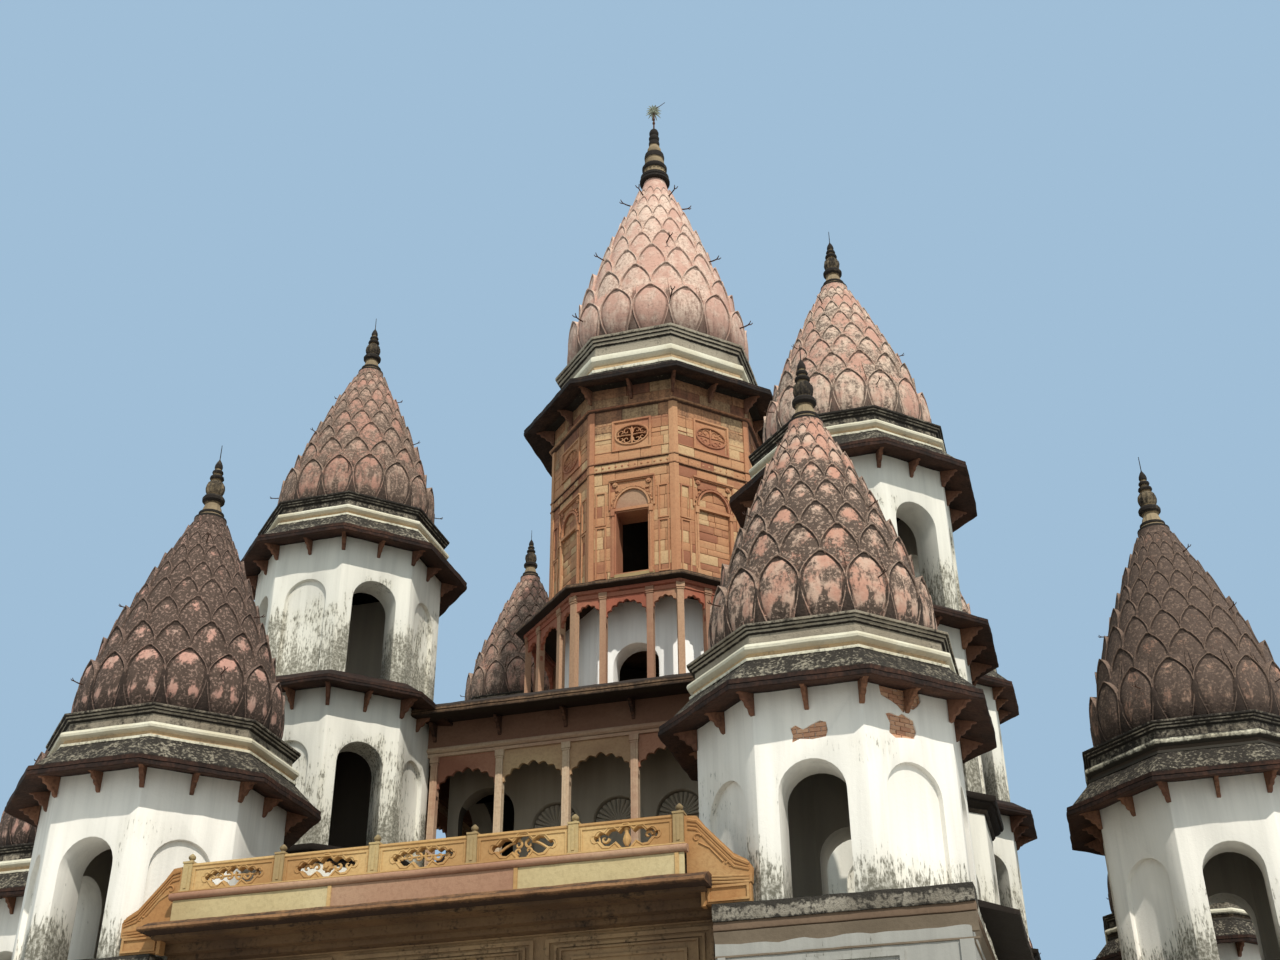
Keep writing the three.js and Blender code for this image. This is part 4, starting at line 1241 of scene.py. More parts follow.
def eave(radius, reach, under, edge_low, edge_high, top_radius, top, cuts=14):
    """A slab from its underside at the wall to its two-layered edge, and the band above it."""
    tip = radius + reach
    split = (edge_low + edge_high) / 2
    slab = carried([
        (radius - 0.10, under + 0.03, 0.3), (radius, under, 0.2),
        (radius + 0.5 * reach, (under + edge_low) / 2, 0.0), (tip - 0.02, edge_low, 0.05),
        (tip, edge_low + 0.008, 0.15), (tip + 0.002, split - 0.006, 0.2), (tip - 0.022, split, 0.4),
        (tip - 0.010, split + 0.010, 0.1), (tip - 0.008, edge_high, 0.15),
        (tip - 0.07, edge_high + 0.015, 0.25), (tip - 0.12, edge_high + 0.03, 0.3),
        (radius + 0.02, under + 0.12, 0.3), (radius - 0.10, under + 0.12, 0.3),
    ], 8, cuts)
    band = carried([
        (tip - 0.10, edge_high + 0.004, 0.22), (tip - 0.10, edge_high + 0.045, 0.16),
        (top_radius, top, 0.20), (top_radius - 0.25, top, 0.3),
        (top_radius - 0.25, edge_high + 0.004, 0.3),
    ], 8, cuts)
    return united(painted(0, ragged(slab, 0.016, 4.0)), painted(1, ragged(band, 0.014, 6.0)))


def tower_eave(height, low=-0.115, high=0.01, top_radius=1.66, top=0.37):
    """The eave of a drum: its edge and its top lie at heights over the top of the wall."""
    edge = (height + low, height + high)
    return eave(WALL, EAVE_REACH, height - 0.01, *edge, top_radius, height + top)


# %% [markdown]
# ## Fallen plaster
# On the near right tower the plaster has come away in three places, down to the brick. Each
# patch is cut a few centimetres deep into that tower's wall, and rough bricks are laid at
# the bottom of the cut.

# %% Damage on the near right tower
PATCH_DEPTH = 0.035
BRICK_LONG, BRICK_TALL = 0.135, 0.052
SOUTH_PATCH = [
    (-0.19, 1.70), (-0.10, 1.735), (0.04, 1.715), (0.19, 1.73), (0.215, 1.80), (0.20, 1.90),
    (0.13, 1.925), (0.02, 1.88), (-0.06, 1.84), (-0.14, 1.90), (-0.20, 1.87), (-0.175, 1.78),
]
DIAGONAL_PATCH = [
    (-0.27, 1.79), (-0.19, 1.74), (-0.08, 1.76), (0.07, 1.77), (0.11, 1.86), (0.08, 1.99),
    (0.0, 2.02), (-0.06, 2.05), (-0.12, 2.01), (-0.23, 2.03), (-0.30, 2.01), (-0.25, 1.90),
]
EAVE_PATCH = [
    (-0.34, 2.22), (-0.20, 2.17), (-0.12, 2.13), (-0.05, 2.06), (0.03, 2.13), (0.10, 2.12),
    (0.17, 2.18), (0.22, 2.25), (0.20, 2.345), (-0.36, 2.345),
]
brick = worn_edges(block(-0.5, 0.5, -0.02, 0.02, -0.5, 0.5), 0.006)


def brick_patch(outline, seed):
    """Bricks at the bottom of a patch, held inside the box round its outline."""
    random.seed(seed)
    xs, zs = zip(*outline)
    low_x, high_x, low_z, high_z = min(xs), max(xs), min(zs), max(zs)
    spots = []
    for row in range(math.ceil((high_z - low_z) / BRICK_TALL)):
        for k in range(math.ceil((high_x - low_x) / BRICK_LONG) + 2):
            x = low_x + (k - 0.5 * (row % 2)) * BRICK_LONG
            z = low_z + (row + 0.5) * BRICK_TALL
            deep = FACE + PATCH_DEPTH + random.uniform(-0.004, 0.010)
            turn = (0, 0, random.uniform(-0.03, 0.03))
            spots.append(((x, deep, z), turn, (BRICK_LONG * 0.93, 1, BRICK_TALL * 0.84)))
    wall = copied(brick, spots, BRICK, seed)
    for vert in wall.vertices:
        vert.co.x = min(max(vert.co.x, low_x + 0.01), high_x - 0.01)
        vert.co.z = min(max(vert.co.z, low_z + 0.01), high_z - 0.01)
    return wall


PATCHES = [(SOUTH_PATCH, 0, 5), (DIAGONAL_PATCH, 1, 6), (EAVE_PATCH, 1, 7)]
cuts = []
bricks = []
for outline, k, seed in PATCHES:
    cuts.append((extruded(outline, FACE - 0.05, FACE + PATCH_DEPTH), at(turn=k * EIGHTH)))
    bricks.append((brick_patch(outline, seed), at(turn=k * EIGHTH)))
hurt_drum = lined(drum(LOW_HEIGHT, LOW_ARCH_TALL, MAIN_SIDES, 0.006, [united(*cuts)]), 1)


# %% Towers dressed
def dress_drum(node, floor, height, walls, ledge, plaster, seed):
    """The walls, eave and brackets of a drum under a spire."""
    place = (*axis_of(node), floor)
    finishes = [plaster, INSIDE_PLASTER]
    dressed(f"{node}_walls", placed(walls, *place), finishes, [node], 30)
    finishes = [EAVE_STONE, ROUGH_BAND]
    dressed(f"{node}_eave", placed(ledge, *place), finishes, [node])
    struts = placed(brackets(WALL, height - 0.01, 0.74, seed), *place)
    dressed(f"{node}_brackets", struts, [BRACKET_STONE])


low_eave = tower_eave(LOW_HEIGHT)
high_eave = tower_eave(HIGH_HEIGHT)
for seed, place in enumerate(LOW):
    walls = hurt_drum if place == "front_right" else low_drum
    dress_drum(f"drum_{place}", TERRACE, LOW_HEIGHT, walls, low_eave, CLEAN_PLASTER, seed)
patch_bricks = placed(united(*bricks), *axis_of("drum_front_right"), TERRACE)
dressed("front_right_bare_bricks", patch_bricks, [BRICK])
for seed, place in enumerate(HIGH):
    node = f"high_drum_{place}"
    dress_drum(node, UPPER_TERRACE, HIGH_HEIGHT, high_drum, high_eave, STAINED_PLASTER, seed)
    below = f"middle_drum_{place}"
    walls = placed(middle_drum, *axis_of(node), SECOND_FLOOR)
    finishes = [STAINED_PLASTER, DEEP_SHADE_PLASTER]
    dressed(f"{below}_walls", walls, finishes, [below], 30)
print("drums and eaves done")

# %% [markdown]
# ## Shared carving
# Frames, rods, stone courses and cusped arches turn up on every storey, so each has one
# maker. A cusped arch is a plain arch line broken into lobes that meet in sharp points. Stone
# courses are spots for block copies, with a width and a depth that differ from stone to stone.

# %% Frames, rods and scrolls
BOTH = (-1, 1)


def border(x0, x1, z0, z1, wide, near, far):
    """A flat rectangular frame, as four bars."""
    return united(
        block(x0, x1, near, far, z1 - wide, z1),
        block(x0, x1, near, far, z0, z0 + wide),
        block(x0, x0 + wide, near, far, z0 + wide, z1 - wide),
        block(x1 - wide, x1, near, far, z0 + wide, z1 - wide),
    )


def rod(path, radii, sides=5):
    """A round rod along points in space, closed at both ends. Radii is a number for each
    point, or one number for all of them."""
    points = [Vector(point) for point in path]
    radii = radii if isinstance(radii, (list, tuple)) else [radii] * len(points)
    bm = bmesh.new()
    rings = []
    side = None
    for i, (point, radius) in enumerate(zip(points, radii)):
        ahead = (points[min(i + 1, len(points) - 1)] - points[max(i - 1, 0)]).normalized()
        side = ahead.orthogonal() if side is None else side - ahead * side.dot(ahead)
        side.normalize()
        other = ahead.cross(side)
        angles = [k * math.tau / sides for k in range(sides)]
        spokes = [side * math.cos(angle) + other * math.sin(angle) for angle in angles]
        rings.append([bm.verts.new(point + spoke * radius) for spoke in spokes])
    skinned(bm, rings)
    bm.faces.new(rings[0][::-1])
    bm.faces.new(rings[-1])
    return closed(bm)


def scroll(x, z, start, turns, size, y, thick):
    """A flat spiral that winds in from a foot, as carvers draw a curling leaf. Negative turns
    wind the other way."""
    steps = 14
    path = []
    radii = []
    for k in range(steps + 1):
        share = k / steps
        reach = size * (1 - 0.82 * share)
        angle = start + turns * math.tau * share
        path.append((x + reach * math.cos(angle), y, z + reach * math.sin(angle)))
        radii.append(thick * (1 - 0.5 * share))
    return rod(path, radii)


def oval_points(half_x, half_z, z, steps):
    """Points (across, up) round an oval, from its right-hand end."""
    angles = [k * math.tau / steps for k in range(steps)]
    return [(half_x * math.cos(a), z + half_z * math.sin(a)) for a in angles]


def half_ring(inner_x, inner_z, thick, z, near, far, steps=18):
    """A flat arch band of even width."""
    angles = [math.pi * k / steps for k in range(steps + 1)]
    outer_x, outer_z = inner_x + thick, inner_z + thick
    outer = [(outer_x * math.cos(a), z + outer_z * math.sin(a)) for a in angles]
    inner = [(inner_x * math.cos(a), z + inner_z * math.sin(a)) for a in angles]
    return extruded(outer + inner[::-1], near, far)


# %% Rosette and bead
def rosette():
    """A small carved flower one unit in radius: a button on a plate of eight petals."""
    parts = []
    for radius, out, notch, sides in ((1.0, 0.22, 0.80, 16), (0.42, 0.42, 1.0, 8)):
        reaches = [radius * (1.0 if k % 2 else notch) for k in range(sides)]
        angles = [k * math.tau / sides for k in range(sides)]
        ring = [(r * math.cos(a), r * math.sin(a)) for r, a in zip(reaches, angles)]
        front = [(x * 0.8, -out, z * 0.8) for x, z in ring]
        parts.append(prism(front, [(x, 0.1, z) for x, z in ring]))
    return united(*parts)


ROSETTE = rosette()
BEAD = turned([(0.0, -0.5), (0.35, -0.38), (0.5, 0.0), (0.35, 0.38), (0.0, 0.5)], 8)


# %% Cusped arches
def lobed(half, spring, apex, lobes, x=0.0, steps=4):
    """Points of a cusped arch, from its left foot over the top to its right foot."""
    marks = []
    for i in range(lobes + 1):
        angle = math.pi * (1 - i / lobes)
        marks.append((x + half * math.cos(angle), spring + (apex - spring) * 0.93 * math.sin(angle)))
    points = []
    for i, ((x0, z0), (x1, z1)) in enumerate(zip(marks, marks[1:])):
        depth = 0.42 if i == lobes // 2 else 0.34
        for step in range(steps):
            share = step / steps
            bulge = math.sin(math.pi * share) * depth
            across = x0 + (x1 - x0) * share - (z1 - z0) * bulge
            points.append((across, z0 + (z1 - z0) * share + (x1 - x0) * bulge))
    return points + [marks[-1]]


def arch_plate(clear, lap, spring, apex, top, lobes, near, far, x=0.0, drop=0.10):
    """A plate over one bay, cut below by a cusped arch. Its sides lap into the posts."""
    half = clear / 2
    foot = spring - drop
    left, right = x - half - lap, x + half + lap
    outline = [(left, top), (left, foot), (x - half, foot)] + lobed(half, spring, apex, lobes, x)
    return extruded(outline + [(x + half, foot), (right, foot), (right, top)], near, far)


def post(wide, foot, top, cap):
    """A square post with a stepped base and a small cap."""
    parts = []
    for low, high, out in ((foot, top, 0.0), (foot, foot + 0.10, cap), (foot + 0.10, foot + 0.13, cap * 0.5),
                           (top - 0.10, top, cap), (top - 0.135, top - 0.115, cap * 0.7)):
        half = wide / 2 + out
        parts.append(block(-half, half, -half, half, low, high))
    return united(*parts)


# %% Stone courses
BLOCK = worn_edges(block(-0.5, 0.5, -0.5, 0.5, -0.5, 0.5), 0.020, 1)
BLOCK_DEEP = 0.05


def coursed(x0, x1, z0, z1, tall, long, near, uneven=0.35, joint=0.008):
    """Spots for stone blocks that fill a rectangle in courses, with their faces near a depth."""
    rows = max(1, round((z1 - z0) / tall))
    marks = []
    for k in range(rows + 1):
        shift = random.uniform(-0.18, 0.18) if 0 < k < rows else 0
        marks.append(z0 + (z1 - z0) * (k + shift) / rows)
    spots = []
    for low, high in zip(marks, marks[1:]):
        x = x0
        while x < x1 - 0.001:
            wide = long * random.uniform(1 - uneven, 1 + uneven)
            if x1 - x - wide < 0.45 * long:
                wide = x1 - x
            face = near + random.uniform(-0.006, 0.006)
            place = (x + wide / 2, face + BLOCK_DEEP / 2, (low + high) / 2)
            spots.append((place, (0, 0, 0), (wide - joint, BLOCK_DEEP, high - low - joint)))
            x += wide
    return spots


# %% [markdown]
# ## The sandstone tower room
# The room under the great spire is an octagon of sandstone blocks. Every side has the same
# order of strips, strings and frames. The four main sides have a real window with a smooth
# panel in its arch and a pierced oval above, and the four others are filled with blocks.
# A thin backing wall is cut through, and single blocks are laid on it with open joints.

# %% Heights and widths of a side, measured up from the floor of the room
DRUM_TALL = CENTRAL_TOP - CENTRAL_FLOOR
DRUM_FACE = -CENTRAL_WALL * CORNER
DRUM_HALF = CENTRAL_WALL * math.sin(math.pi / 8)
WINDOW_HALF, WINDOW_FOOT, WINDOW_HEAD = 0.34, 0.10, 1.45
TYMPANUM_HALF, TYMPANUM_FOOT, TYMPANUM_HEAD = 0.345, 1.53, 1.93
HOOD_HALF, HOOD_TOP = 0.45, 2.16
STRING_LOW, STRING_HIGH = 2.36, 2.56
OVAL_Z, OVAL_X_HALF, OVAL_Z_HALF = 3.15, 0.33, 0.215
FRAME_HALF, FRAME_FOOT, FRAME_HEAD = 0.40, 2.80, 3.50
FASCIA_TOP = 3.80
STRIP = 0.085

# %% Backing wall
skin = CENTRAL_WALL - 0.035
inside = CENTRAL_WALL - 0.5 / CORNER
backing = carried([(skin, 0), (skin, DRUM_TALL), (inside, DRUM_TALL), (inside, 0)])
depths = (DRUM_FACE - 0.2, DRUM_FACE + 0.7)
window = block(-WINDOW_HALF, WINDOW_HALF, *depths, WINDOW_FOOT, WINDOW_HEAD)
oval = oval_points(OVAL_X_HALF, OVAL_Z_HALF, OVAL_Z, 24)
holes = [round_octagon(window, MAIN_SIDES), round_octagon(extruded(oval, *depths), MAIN_SIDES)]
backing = cut_away(backing, united(*holes))


# %% Blocks
def side_blocks(k):
    """The blocks of one side, turned to its place. Even sides have the window."""
    near = DRUM_FACE - 0.002
    edge = DRUM_HALF - 0.004
    whole = (-edge, edge)
    window = (-WINDOW_HALF, WINDOW_HALF)
    rows = (FRAME_FOOT, FRAME_HEAD)
    spots = []
    for side in BOTH:
        spots += coursed(*beside(side, WINDOW_HALF, edge), 0.0, STRING_LOW, 0.235, 0.30, near)
        spots += coursed(*beside(side, OVAL_X_HALF, edge), *rows, 0.22, 0.34, near)
    spots += coursed(*window, TYMPANUM_HEAD - 0.02, STRING_LOW, 0.2, 0.5, near)
    spots += coursed(*whole, STRING_LOW, STRING_HIGH, 0.2, 0.24, near - 0.008)
    spots += coursed(*whole, STRING_HIGH, FRAME_FOOT, 0.24, 0.46, near)
    spots += coursed(*whole, FRAME_HEAD, FASCIA_TOP, 0.3, 0.62, near)
    spots += coursed(*whole, FASCIA_TOP, DRUM_TALL, 0.28, 0.60, near + 0.01)
    if k % 2:
        far = near + 0.02
        spots += coursed(*window, 0.04, WINDOW_HEAD, 0.165, 0.30, far, 0.6, 0.012)
        spots += coursed(-0.3, 0.3, TYMPANUM_FOOT, TYMPANUM_HEAD, 0.20, 0.26, far, 0.5, 0.012)
    turn = k * EIGHTH
    return [(tuple(at(turn=turn) @ Vector(place)), (0, 0, turn), size) for place, _, size in spots]


random.seed(31)
block_spots = [spot for k in range(8) for spot in side_blocks(k)]
drum_blocks = copied(BLOCK, block_spots, BLOCK_STONE, 12)
# The courses from 3.27 m up are darker than those below.
point_values(drum_blocks, "soot", lambda co: 0.34 if co.z > 3.27 else 0.02)
print("blocks on the tower room:", len(block_spots))


# %% Strips, frames and arches on one side
def window_trim(side, far):
    """The jamb strips, caps, small frames and rosette beside one edge of the window."""
    face = DRUM_FACE
    edge = WINDOW_HALF
    parts = [
        block(*beside(side, DRUM_HALF - STRIP, DRUM_HALF + 0.012), face - 0.030, far, 0.0, FASCIA_TOP),
        block(*beside(side, edge + 0.005, edge + 0.085), face - 0.022, far, 0.05, 1.52),
        block(*beside(side, edge + 0.010, edge + 0.050), face - 0.040, far, 0.05, 1.50),
        block(*beside(side, 0.428, 0.455), face - 0.035, far, 1.50, HOOD_TOP),
        (ROSETTE, sized((side * 0.335, face - 0.020, HOOD_TOP - 0.115), [0.062] * 3)),
    ]
    for low, high in ((0.05, 0.17), (1.36, 1.50)):
        parts.append(block(*beside(side, edge, edge + 0.075), face - 0.055, far, low, high))
    for low, high in ((0.06, 1.16), (1.19, 1.92)):
        parts.append(border(*beside(side, 0.515, 0.725), low, high, 0.026, face - 0.024, far))
    for low in (2.81, 3.12, 3.44):
        joint = beside(side, 0.41, DRUM_HALF - STRIP)
        parts.append(block(*joint, face - 0.010, far, low, low + 0.012))
    return parts


def side_trim():
    """Everything carved that stands proud of one side."""
    face = DRUM_FACE
    far = face + 0.01
    rise = TYMPANUM_HEAD - TYMPANUM_FOOT
    foot = TYMPANUM_FOOT
    parts = window_trim(-1, far) + window_trim(1, far)
    for half, out, low, high in (
            (HOOD_HALF, 0.060, HOOD_TOP - 0.035, HOOD_TOP),
            (HOOD_HALF - 0.02, 0.035, HOOD_TOP - 0.06, HOOD_TOP - 0.035),
            (WINDOW_HALF + 0.03, 0.045, WINDOW_HEAD, WINDOW_HEAD + 0.06)):
        parts.append(block(-half, half, face - out, far, low, high))
    parts.append(half_ring(TYMPANUM_HALF - 0.02, rise - 0.02, 0.035, foot, face - 0.038, far))
    parts.append(half_ring(TYMPANUM_HALF + 0.035, rise + 0.035, 0.012, foot, face - 0.026, far))
    for n in range(15):
        x = (TYMPANUM_HALF + 0.055) * math.cos(math.pi * n / 14)
        z = foot + (rise + 0.045) * math.sin(math.pi * n / 14)
        parts.append((BEAD, sized((x, face - 0.018, z), [0.042] * 3)))
    for n in range(12):
        parts.append((BEAD, sized(((n - 5.5) * 0.13, face - 0.010, 2.46), (0.05, 0.03, 0.05))))
    for inset, wide, out in ((0.0, 0.040, 0.034), (0.04, 0.014, 0.016)):
        half, low, high = FRAME_HALF - inset, FRAME_FOOT + inset, FRAME_HEAD - inset
        parts.append(border(-half, half, low, high, wide, face - out, far))
    ring = oval_points(OVAL_X_HALF + 0.004, OVAL_Z_HALF + 0.004, OVAL_Z, 28)
    path = [(x, face - 0.012, z) for x, z in ring + ring[:1]]
    parts.append(rod(path, 0.022, 6))
    return united(*parts)


def oval_plate():
    """The flat stone round the oval hole, inside its frame."""
    depths = (DRUM_FACE - 0.004, DRUM_FACE + 0.05)
    plate = block(-FRAME_HALF, FRAME_HALF, *depths, FRAME_FOOT, FRAME_HEAD)
    return cut_away(plate, extruded(oval, DRUM_FACE - 0.1, DRUM_FACE + 0.2))


def pierced_leaves(y, thick):
    """Curling leaves either side of a stem, which fill the oval."""
    z = OVAL_Z
    stem = [(0, y, z + up) for up in (-0.20, -0.10, 0, 0.10, 0.20)]
    parts = [rod(stem, [0.012, 0.030, 0.016, 0.038, 0.012], 6)]
    for side in BOTH:
        for up in BOTH:
            way = side * up
            start = math.pi / 2 * (1 - side) + up * 0.4
            root = (side * 0.105, z + up * 0.095, start + math.pi)
            parts.append(scroll(*root, -0.95 * way, 0.085, y, thick))
            parts.append(scroll(side * 0.215, z + up * 0.070, start, 0.85 * way, 0.070, y, thick))
        vein = [(side * 0.02, y, z), (side * 0.15, y, z + 0.015), (side * 0.32, y, z)]
        parts.append(rod(vein, [thick, thick * 0.8, thick]))
        parts.append(scroll(side * 0.275, z, start, 0.7 * side, 0.045, y, thick * 0.8))
    return united(*parts)


# %% The tower room put together
def string_course(z, reach, tall):
    radius = CENTRAL_WALL
    return carried([
        (radius - 0.06, z, 0.5), (radius + reach * 0.6, z + 0.004, 0.5),
        (radius + reach, z + tall * 0.45, 0.2), (radius + reach, z + tall * 0.8, 0.35),
        (radius + reach * 0.3, z + tall, 0.6), (radius - 0.06, z + tall, 0.5),
    ], 8, 8)


strings = united(
    string_course(STRING_LOW - 0.02, 0.050, 0.045),
    string_course(STRING_HIGH - 0.02, 0.050, 0.045),
    string_course(FASCIA_TOP - 0.03, 0.095, 0.075),
)
jamb = border(-WINDOW_HALF - 0.01, WINDOW_HALF + 0.01, WINDOW_FOOT, WINDOW_HEAD + 0.01, 0.035,
              DRUM_FACE - 0.012, DRUM_FACE + 0.2)
curve = [(math.cos(math.pi * k / 16), math.sin(math.pi * k / 16)) for k in range(17)]
tympanum_tall = TYMPANUM_HEAD - TYMPANUM_FOOT
outline = [(x * TYMPANUM_HALF * 0.98, TYMPANUM_FOOT + tympanum_tall * z) for x, z in curve]
tympanum = extruded(outline, DRUM_FACE + 0.004, DRUM_FACE + 0.05)
sill = block(-0.43, 0.43, DRUM_FACE - 0.045, DRUM_FACE + 0.3, 0.02, WINDOW_FOOT)
trim = [
    round_octagon(side_trim()),
    round_octagon(oval_plate()),
    round_octagon(pierced_leaves(DRUM_FACE + 0.012, 0.016), MAIN_SIDES),
    round_octagon(pierced_leaves(DRUM_FACE + 0.006, 0.017), DIAGONAL_SIDES),
    round_octagon(extruded(oval, DRUM_FACE + 0.012, DRUM_FACE + 0.06), DIAGONAL_SIDES),
    round_octagon(jamb, MAIN_SIDES),
    ragged(strings, 0.004),
]
room = united(
    painted(1, backing, *trim),
    painted(2, round_octagon(tympanum, MAIN_SIDES)),
    painted(3, round_octagon(sill, MAIN_SIDES)),
)
room = placed(room, 0, 0, CENTRAL_FLOOR)
tinted(room, 0.45, (2.1, 0, 5.3))
finishes = [BLOCK_STONE, TRIM_STONE, PINK_BAND, KNOB_STONE, DEEP_SHADE_PLASTER]
dressed("central_drum_stone", lined(room, 4), finishes, ["central_drum"], 40)
drum_blocks = placed(drum_blocks, 0, 0, CENTRAL_FLOOR)
dressed("central_drum_blocks", drum_blocks, [BLOCK_STONE], ["central_drum"], 40)

# %% [markdown]
# ## Eave of the great tower
# The widest eave of all: thin slabs that droop well below their wall, on brackets, with a
# pale lichened upper edge and a soffit that is almost black.

# %% Central eave
under = DRUM_TALL + 0.02
edge = (under - 0.19, under - 0.06)
slabs = eave(CENTRAL_WALL, 0.64, under, *edge, CENTRAL_WALL - 0.06, DRUM_TALL + 0.44, 18)
slabs = placed(slabs, 0, 0, CENTRAL_FLOOR)
finishes = [DARK_EAVE, ROUGH_BAND]
dressed("central_eave_slabs", slabs, finishes, ["central_eave"])
struts = placed(brackets(CENTRAL_WALL, DRUM_TALL, 1.0, 41), 0, 0, CENTRAL_FLOOR)
dressed("central_eave_brackets", struts, [BRACKET_STONE])

# %% [markdown]
# ## Ring of small arches and the white room inside it
# Thin posts at the corners and beside the middle of each side carry plates cut into cusped
# arches. A ledge roof lies on them. Behind stands a plain white octagon with an arch in each
# main side, and the sun throws the cusps onto it.

# %% Ring arcade
RING_RADIUS = radius_of("gallery_ring")
RING_FACE = -RING_RADIUS * CORNER
RING_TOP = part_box("gallery_ring")[1].z - UPPER_TERRACE
RING_HALF = RING_RADIUS * math.sin(math.pi / 8)
POST_WIDE = 0.12
POST_PLACE = 0.44
SPRING, APEX, PLATE_TOP = 1.96, 2.37, RING_TOP - 0.05
BARE_PLATES = [0, 3, 5]  # sides whose right-hand plate has lost its red render
bay_wide = 2 * POST_PLACE - POST_WIDE
bay_narrow = RING_HALF - POST_PLACE - POST_WIDE
narrow_place = POST_PLACE + POST_WIDE / 2 + bay_narrow / 2
ring_post = post(POST_WIDE, 0.0, RING_TOP - 0.06, 0.018)
posts = [(ring_post, at(x, RING_FACE + POST_WIDE / 2)) for x in (-POST_PLACE, POST_PLACE)]
posts.append((ring_post, at(turn=EIGHTH / 2) @ at(0, -RING_RADIUS + POST_WIDE * 0.55)))
depths = (RING_FACE + 0.025, RING_FACE + 0.085)
wide_plate = arch_plate(bay_wide, 0.03, SPRING, APEX, PLATE_TOP, 9, *depths)
left_plate, right_plate = [
    arch_plate(bay_narrow, 0.05, SPRING + 0.08, APEX, PLATE_TOP, 7, *depths, side * narrow_place, 0.12)
    for side in BOTH]
inner = RING_RADIUS - 0.14
beam = carried([
    (RING_RADIUS - 0.02, RING_TOP - 0.085, 0.3), (RING_RADIUS + 0.035, RING_TOP - 0.06, 0.2),
    (RING_RADIUS + 0.035, RING_TOP, 0.1), (inner, RING_TOP, 0.3), (inner, RING_TOP - 0.085, 0.3),
], 8, 4)
outer, inner, low, high = RING_RADIUS - 0.005, RING_RADIUS - 0.10, RING_TOP - 0.16, RING_TOP - 0.08
lintel_strip = carried([(outer, low), (outer, high), (inner, high), (inner, low)])
rendered = [
    round_octagon(right_plate, [k for k in range(8) if k not in BARE_PLATES]),
    round_octagon(united(left_plate, wide_plate)),
    ragged(beam, 0.004),
    lintel_strip,
]
arcade = united(
    painted(0, round_octagon(united(*posts))),
    painted(1, *rendered),
    painted(2, round_octagon(right_plate, BARE_PLATES)),
)
arcade = tinted(placed(arcade, 0, 0, UPPER_TERRACE), 0.5, (3.1, 4.7, 0))
finishes = [RING_POST, RED_RENDER, FRINGE_STONE]
dressed("gallery_ring_arches", arcade, finishes, ["gallery_ring"], 40)

# %% Ledge roof
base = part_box("gallery_roof")[0].z
LEDGE_RINGS = [
    (1.9, 0.0, 0.3), (2.60, 0.0, 0.45), (2.80, 0.02, 0.45), (2.845, 0.035, 0.25),
    (2.850, 0.075, 0.05), (2.835, 0.11, 0.25), (2.80, 0.125, 0.35), (2.60, 0.20, 0.30),
    (2.30, 0.345, 0.25), (2.24, 0.375, 0.30), (1.9, 0.375, 0.3),
]
ledge = ragged(carried([(r, base + z, soot) for r, z, soot in LEDGE_RINGS], 8, 24), 0.016, 5.0)
slab = turned([(0, base + 0.1), (2.1, base + 0.1), (2.1, base + 0.365), (0, base + 0.365)], 16)
roof = united(ledge, slab)
dressed("gallery_roof_ledge", roof, [BUFF_LEDGE], ["gallery_roof"])

# %% White room inside the ring
ROOM_RADIUS = radius_of("central_base")
ROOM_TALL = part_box("central_base")[1].z - UPPER_TERRACE
inside = ROOM_RADIUS - 0.4 / CORNER
room = carried([(ROOM_RADIUS, 0), (ROOM_RADIUS, ROOM_TALL), (inside, ROOM_TALL), (inside, 0)])
face = -ROOM_RADIUS * CORNER
door = extruded(round_arch(0.43, -0.1, 1.78), face - PAST, face + 0.4 + PAST)
room = risen(cut_away(room, round_octagon(door, MAIN_SIDES), 0.01), 0.0, ROOM_TALL)
room = placed(lined(room, 1), 0, 0, UPPER_TERRACE)
# Its plaster is brightened as painted light.
finishes = [BRIGHT_PLASTER, DEEP_SHADE_PLASTER]
dressed("central_base_walls", room, finishes, ["central_base"], 30)
print("great tower dressed below its spire")

# %% [markdown]
# ## The arcaded storey
# Between the upper towers, each side of the second floor is an open screen of five cusped
# bays on slender posts. A flat fascia with brackets runs over it, under a drooping ledge. A
# plain room with shell niches stands behind. One side is made and turned to all four.

# %% Cusped screen
SCREEN_FACE, SCREEN_BACK = -3.96, -3.84
SCREEN_MIDDLE = (SCREEN_FACE + SCREEN_BACK) / 2
BAY = 1.15
BAYS = 5
SCREEN_HALF = GRID - WALL * CORNER
ARCH_SPRING, ARCH_APEX = 10.00, 10.40
PANEL_TOP = 10.66
MOULD_TOP = 10.81
ARCADE_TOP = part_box("arcade_front")[1].z
TAN_BAYS = (1, 2)

bay_middles = [(k - (BAYS - 1) / 2) * BAY for k in range(BAYS)]
post_places = [(k - BAYS / 2) * BAY for k in range(BAYS + 1)]
depths = (SCREEN_FACE + 0.035, SCREEN_BACK - 0.03)
plates = [arch_plate(BAY - 0.12, 0.03, ARCH_SPRING, ARCH_APEX, PANEL_TOP, 9, *depths, x, 0.07)
          for x in bay_middles]
screen_post = post(0.12, SECOND_FLOOR, PANEL_TOP, 0.016)
depths = (SCREEN_FACE - 0.008, SCREEN_FACE + 0.02)
fillet = block(-0.022, 0.022, *depths, SECOND_FLOOR + 0.2, PANEL_TOP - 0.16)
posts = [(screen_post, at(x, SCREEN_MIDDLE)) for x in post_places]
posts += [(fillet, at(x)) for x in post_places]
moulding = lengthways([
    (SCREEN_BACK, PANEL_TOP + 0.06), (SCREEN_FACE - 0.02, PANEL_TOP + 0.06),
    (SCREEN_FACE - 0.055, PANEL_TOP + 0.09), (SCREEN_FACE - 0.055, MOULD_TOP - 0.03),
    (SCREEN_FACE - 0.03, MOULD_TOP), (SCREEN_BACK, MOULD_TOP),
], -SCREEN_HALF, SCREEN_HALF)
rail = lengthways([
    (SCREEN_BACK, PANEL_TOP), (SCREEN_FACE - 0.004, PANEL_TOP),
    (SCREEN_FACE - 0.012, PANEL_TOP + 0.05), (SCREEN_BACK, PANEL_TOP + 0.05),
], -SCREEN_HALF, SCREEN_HALF)
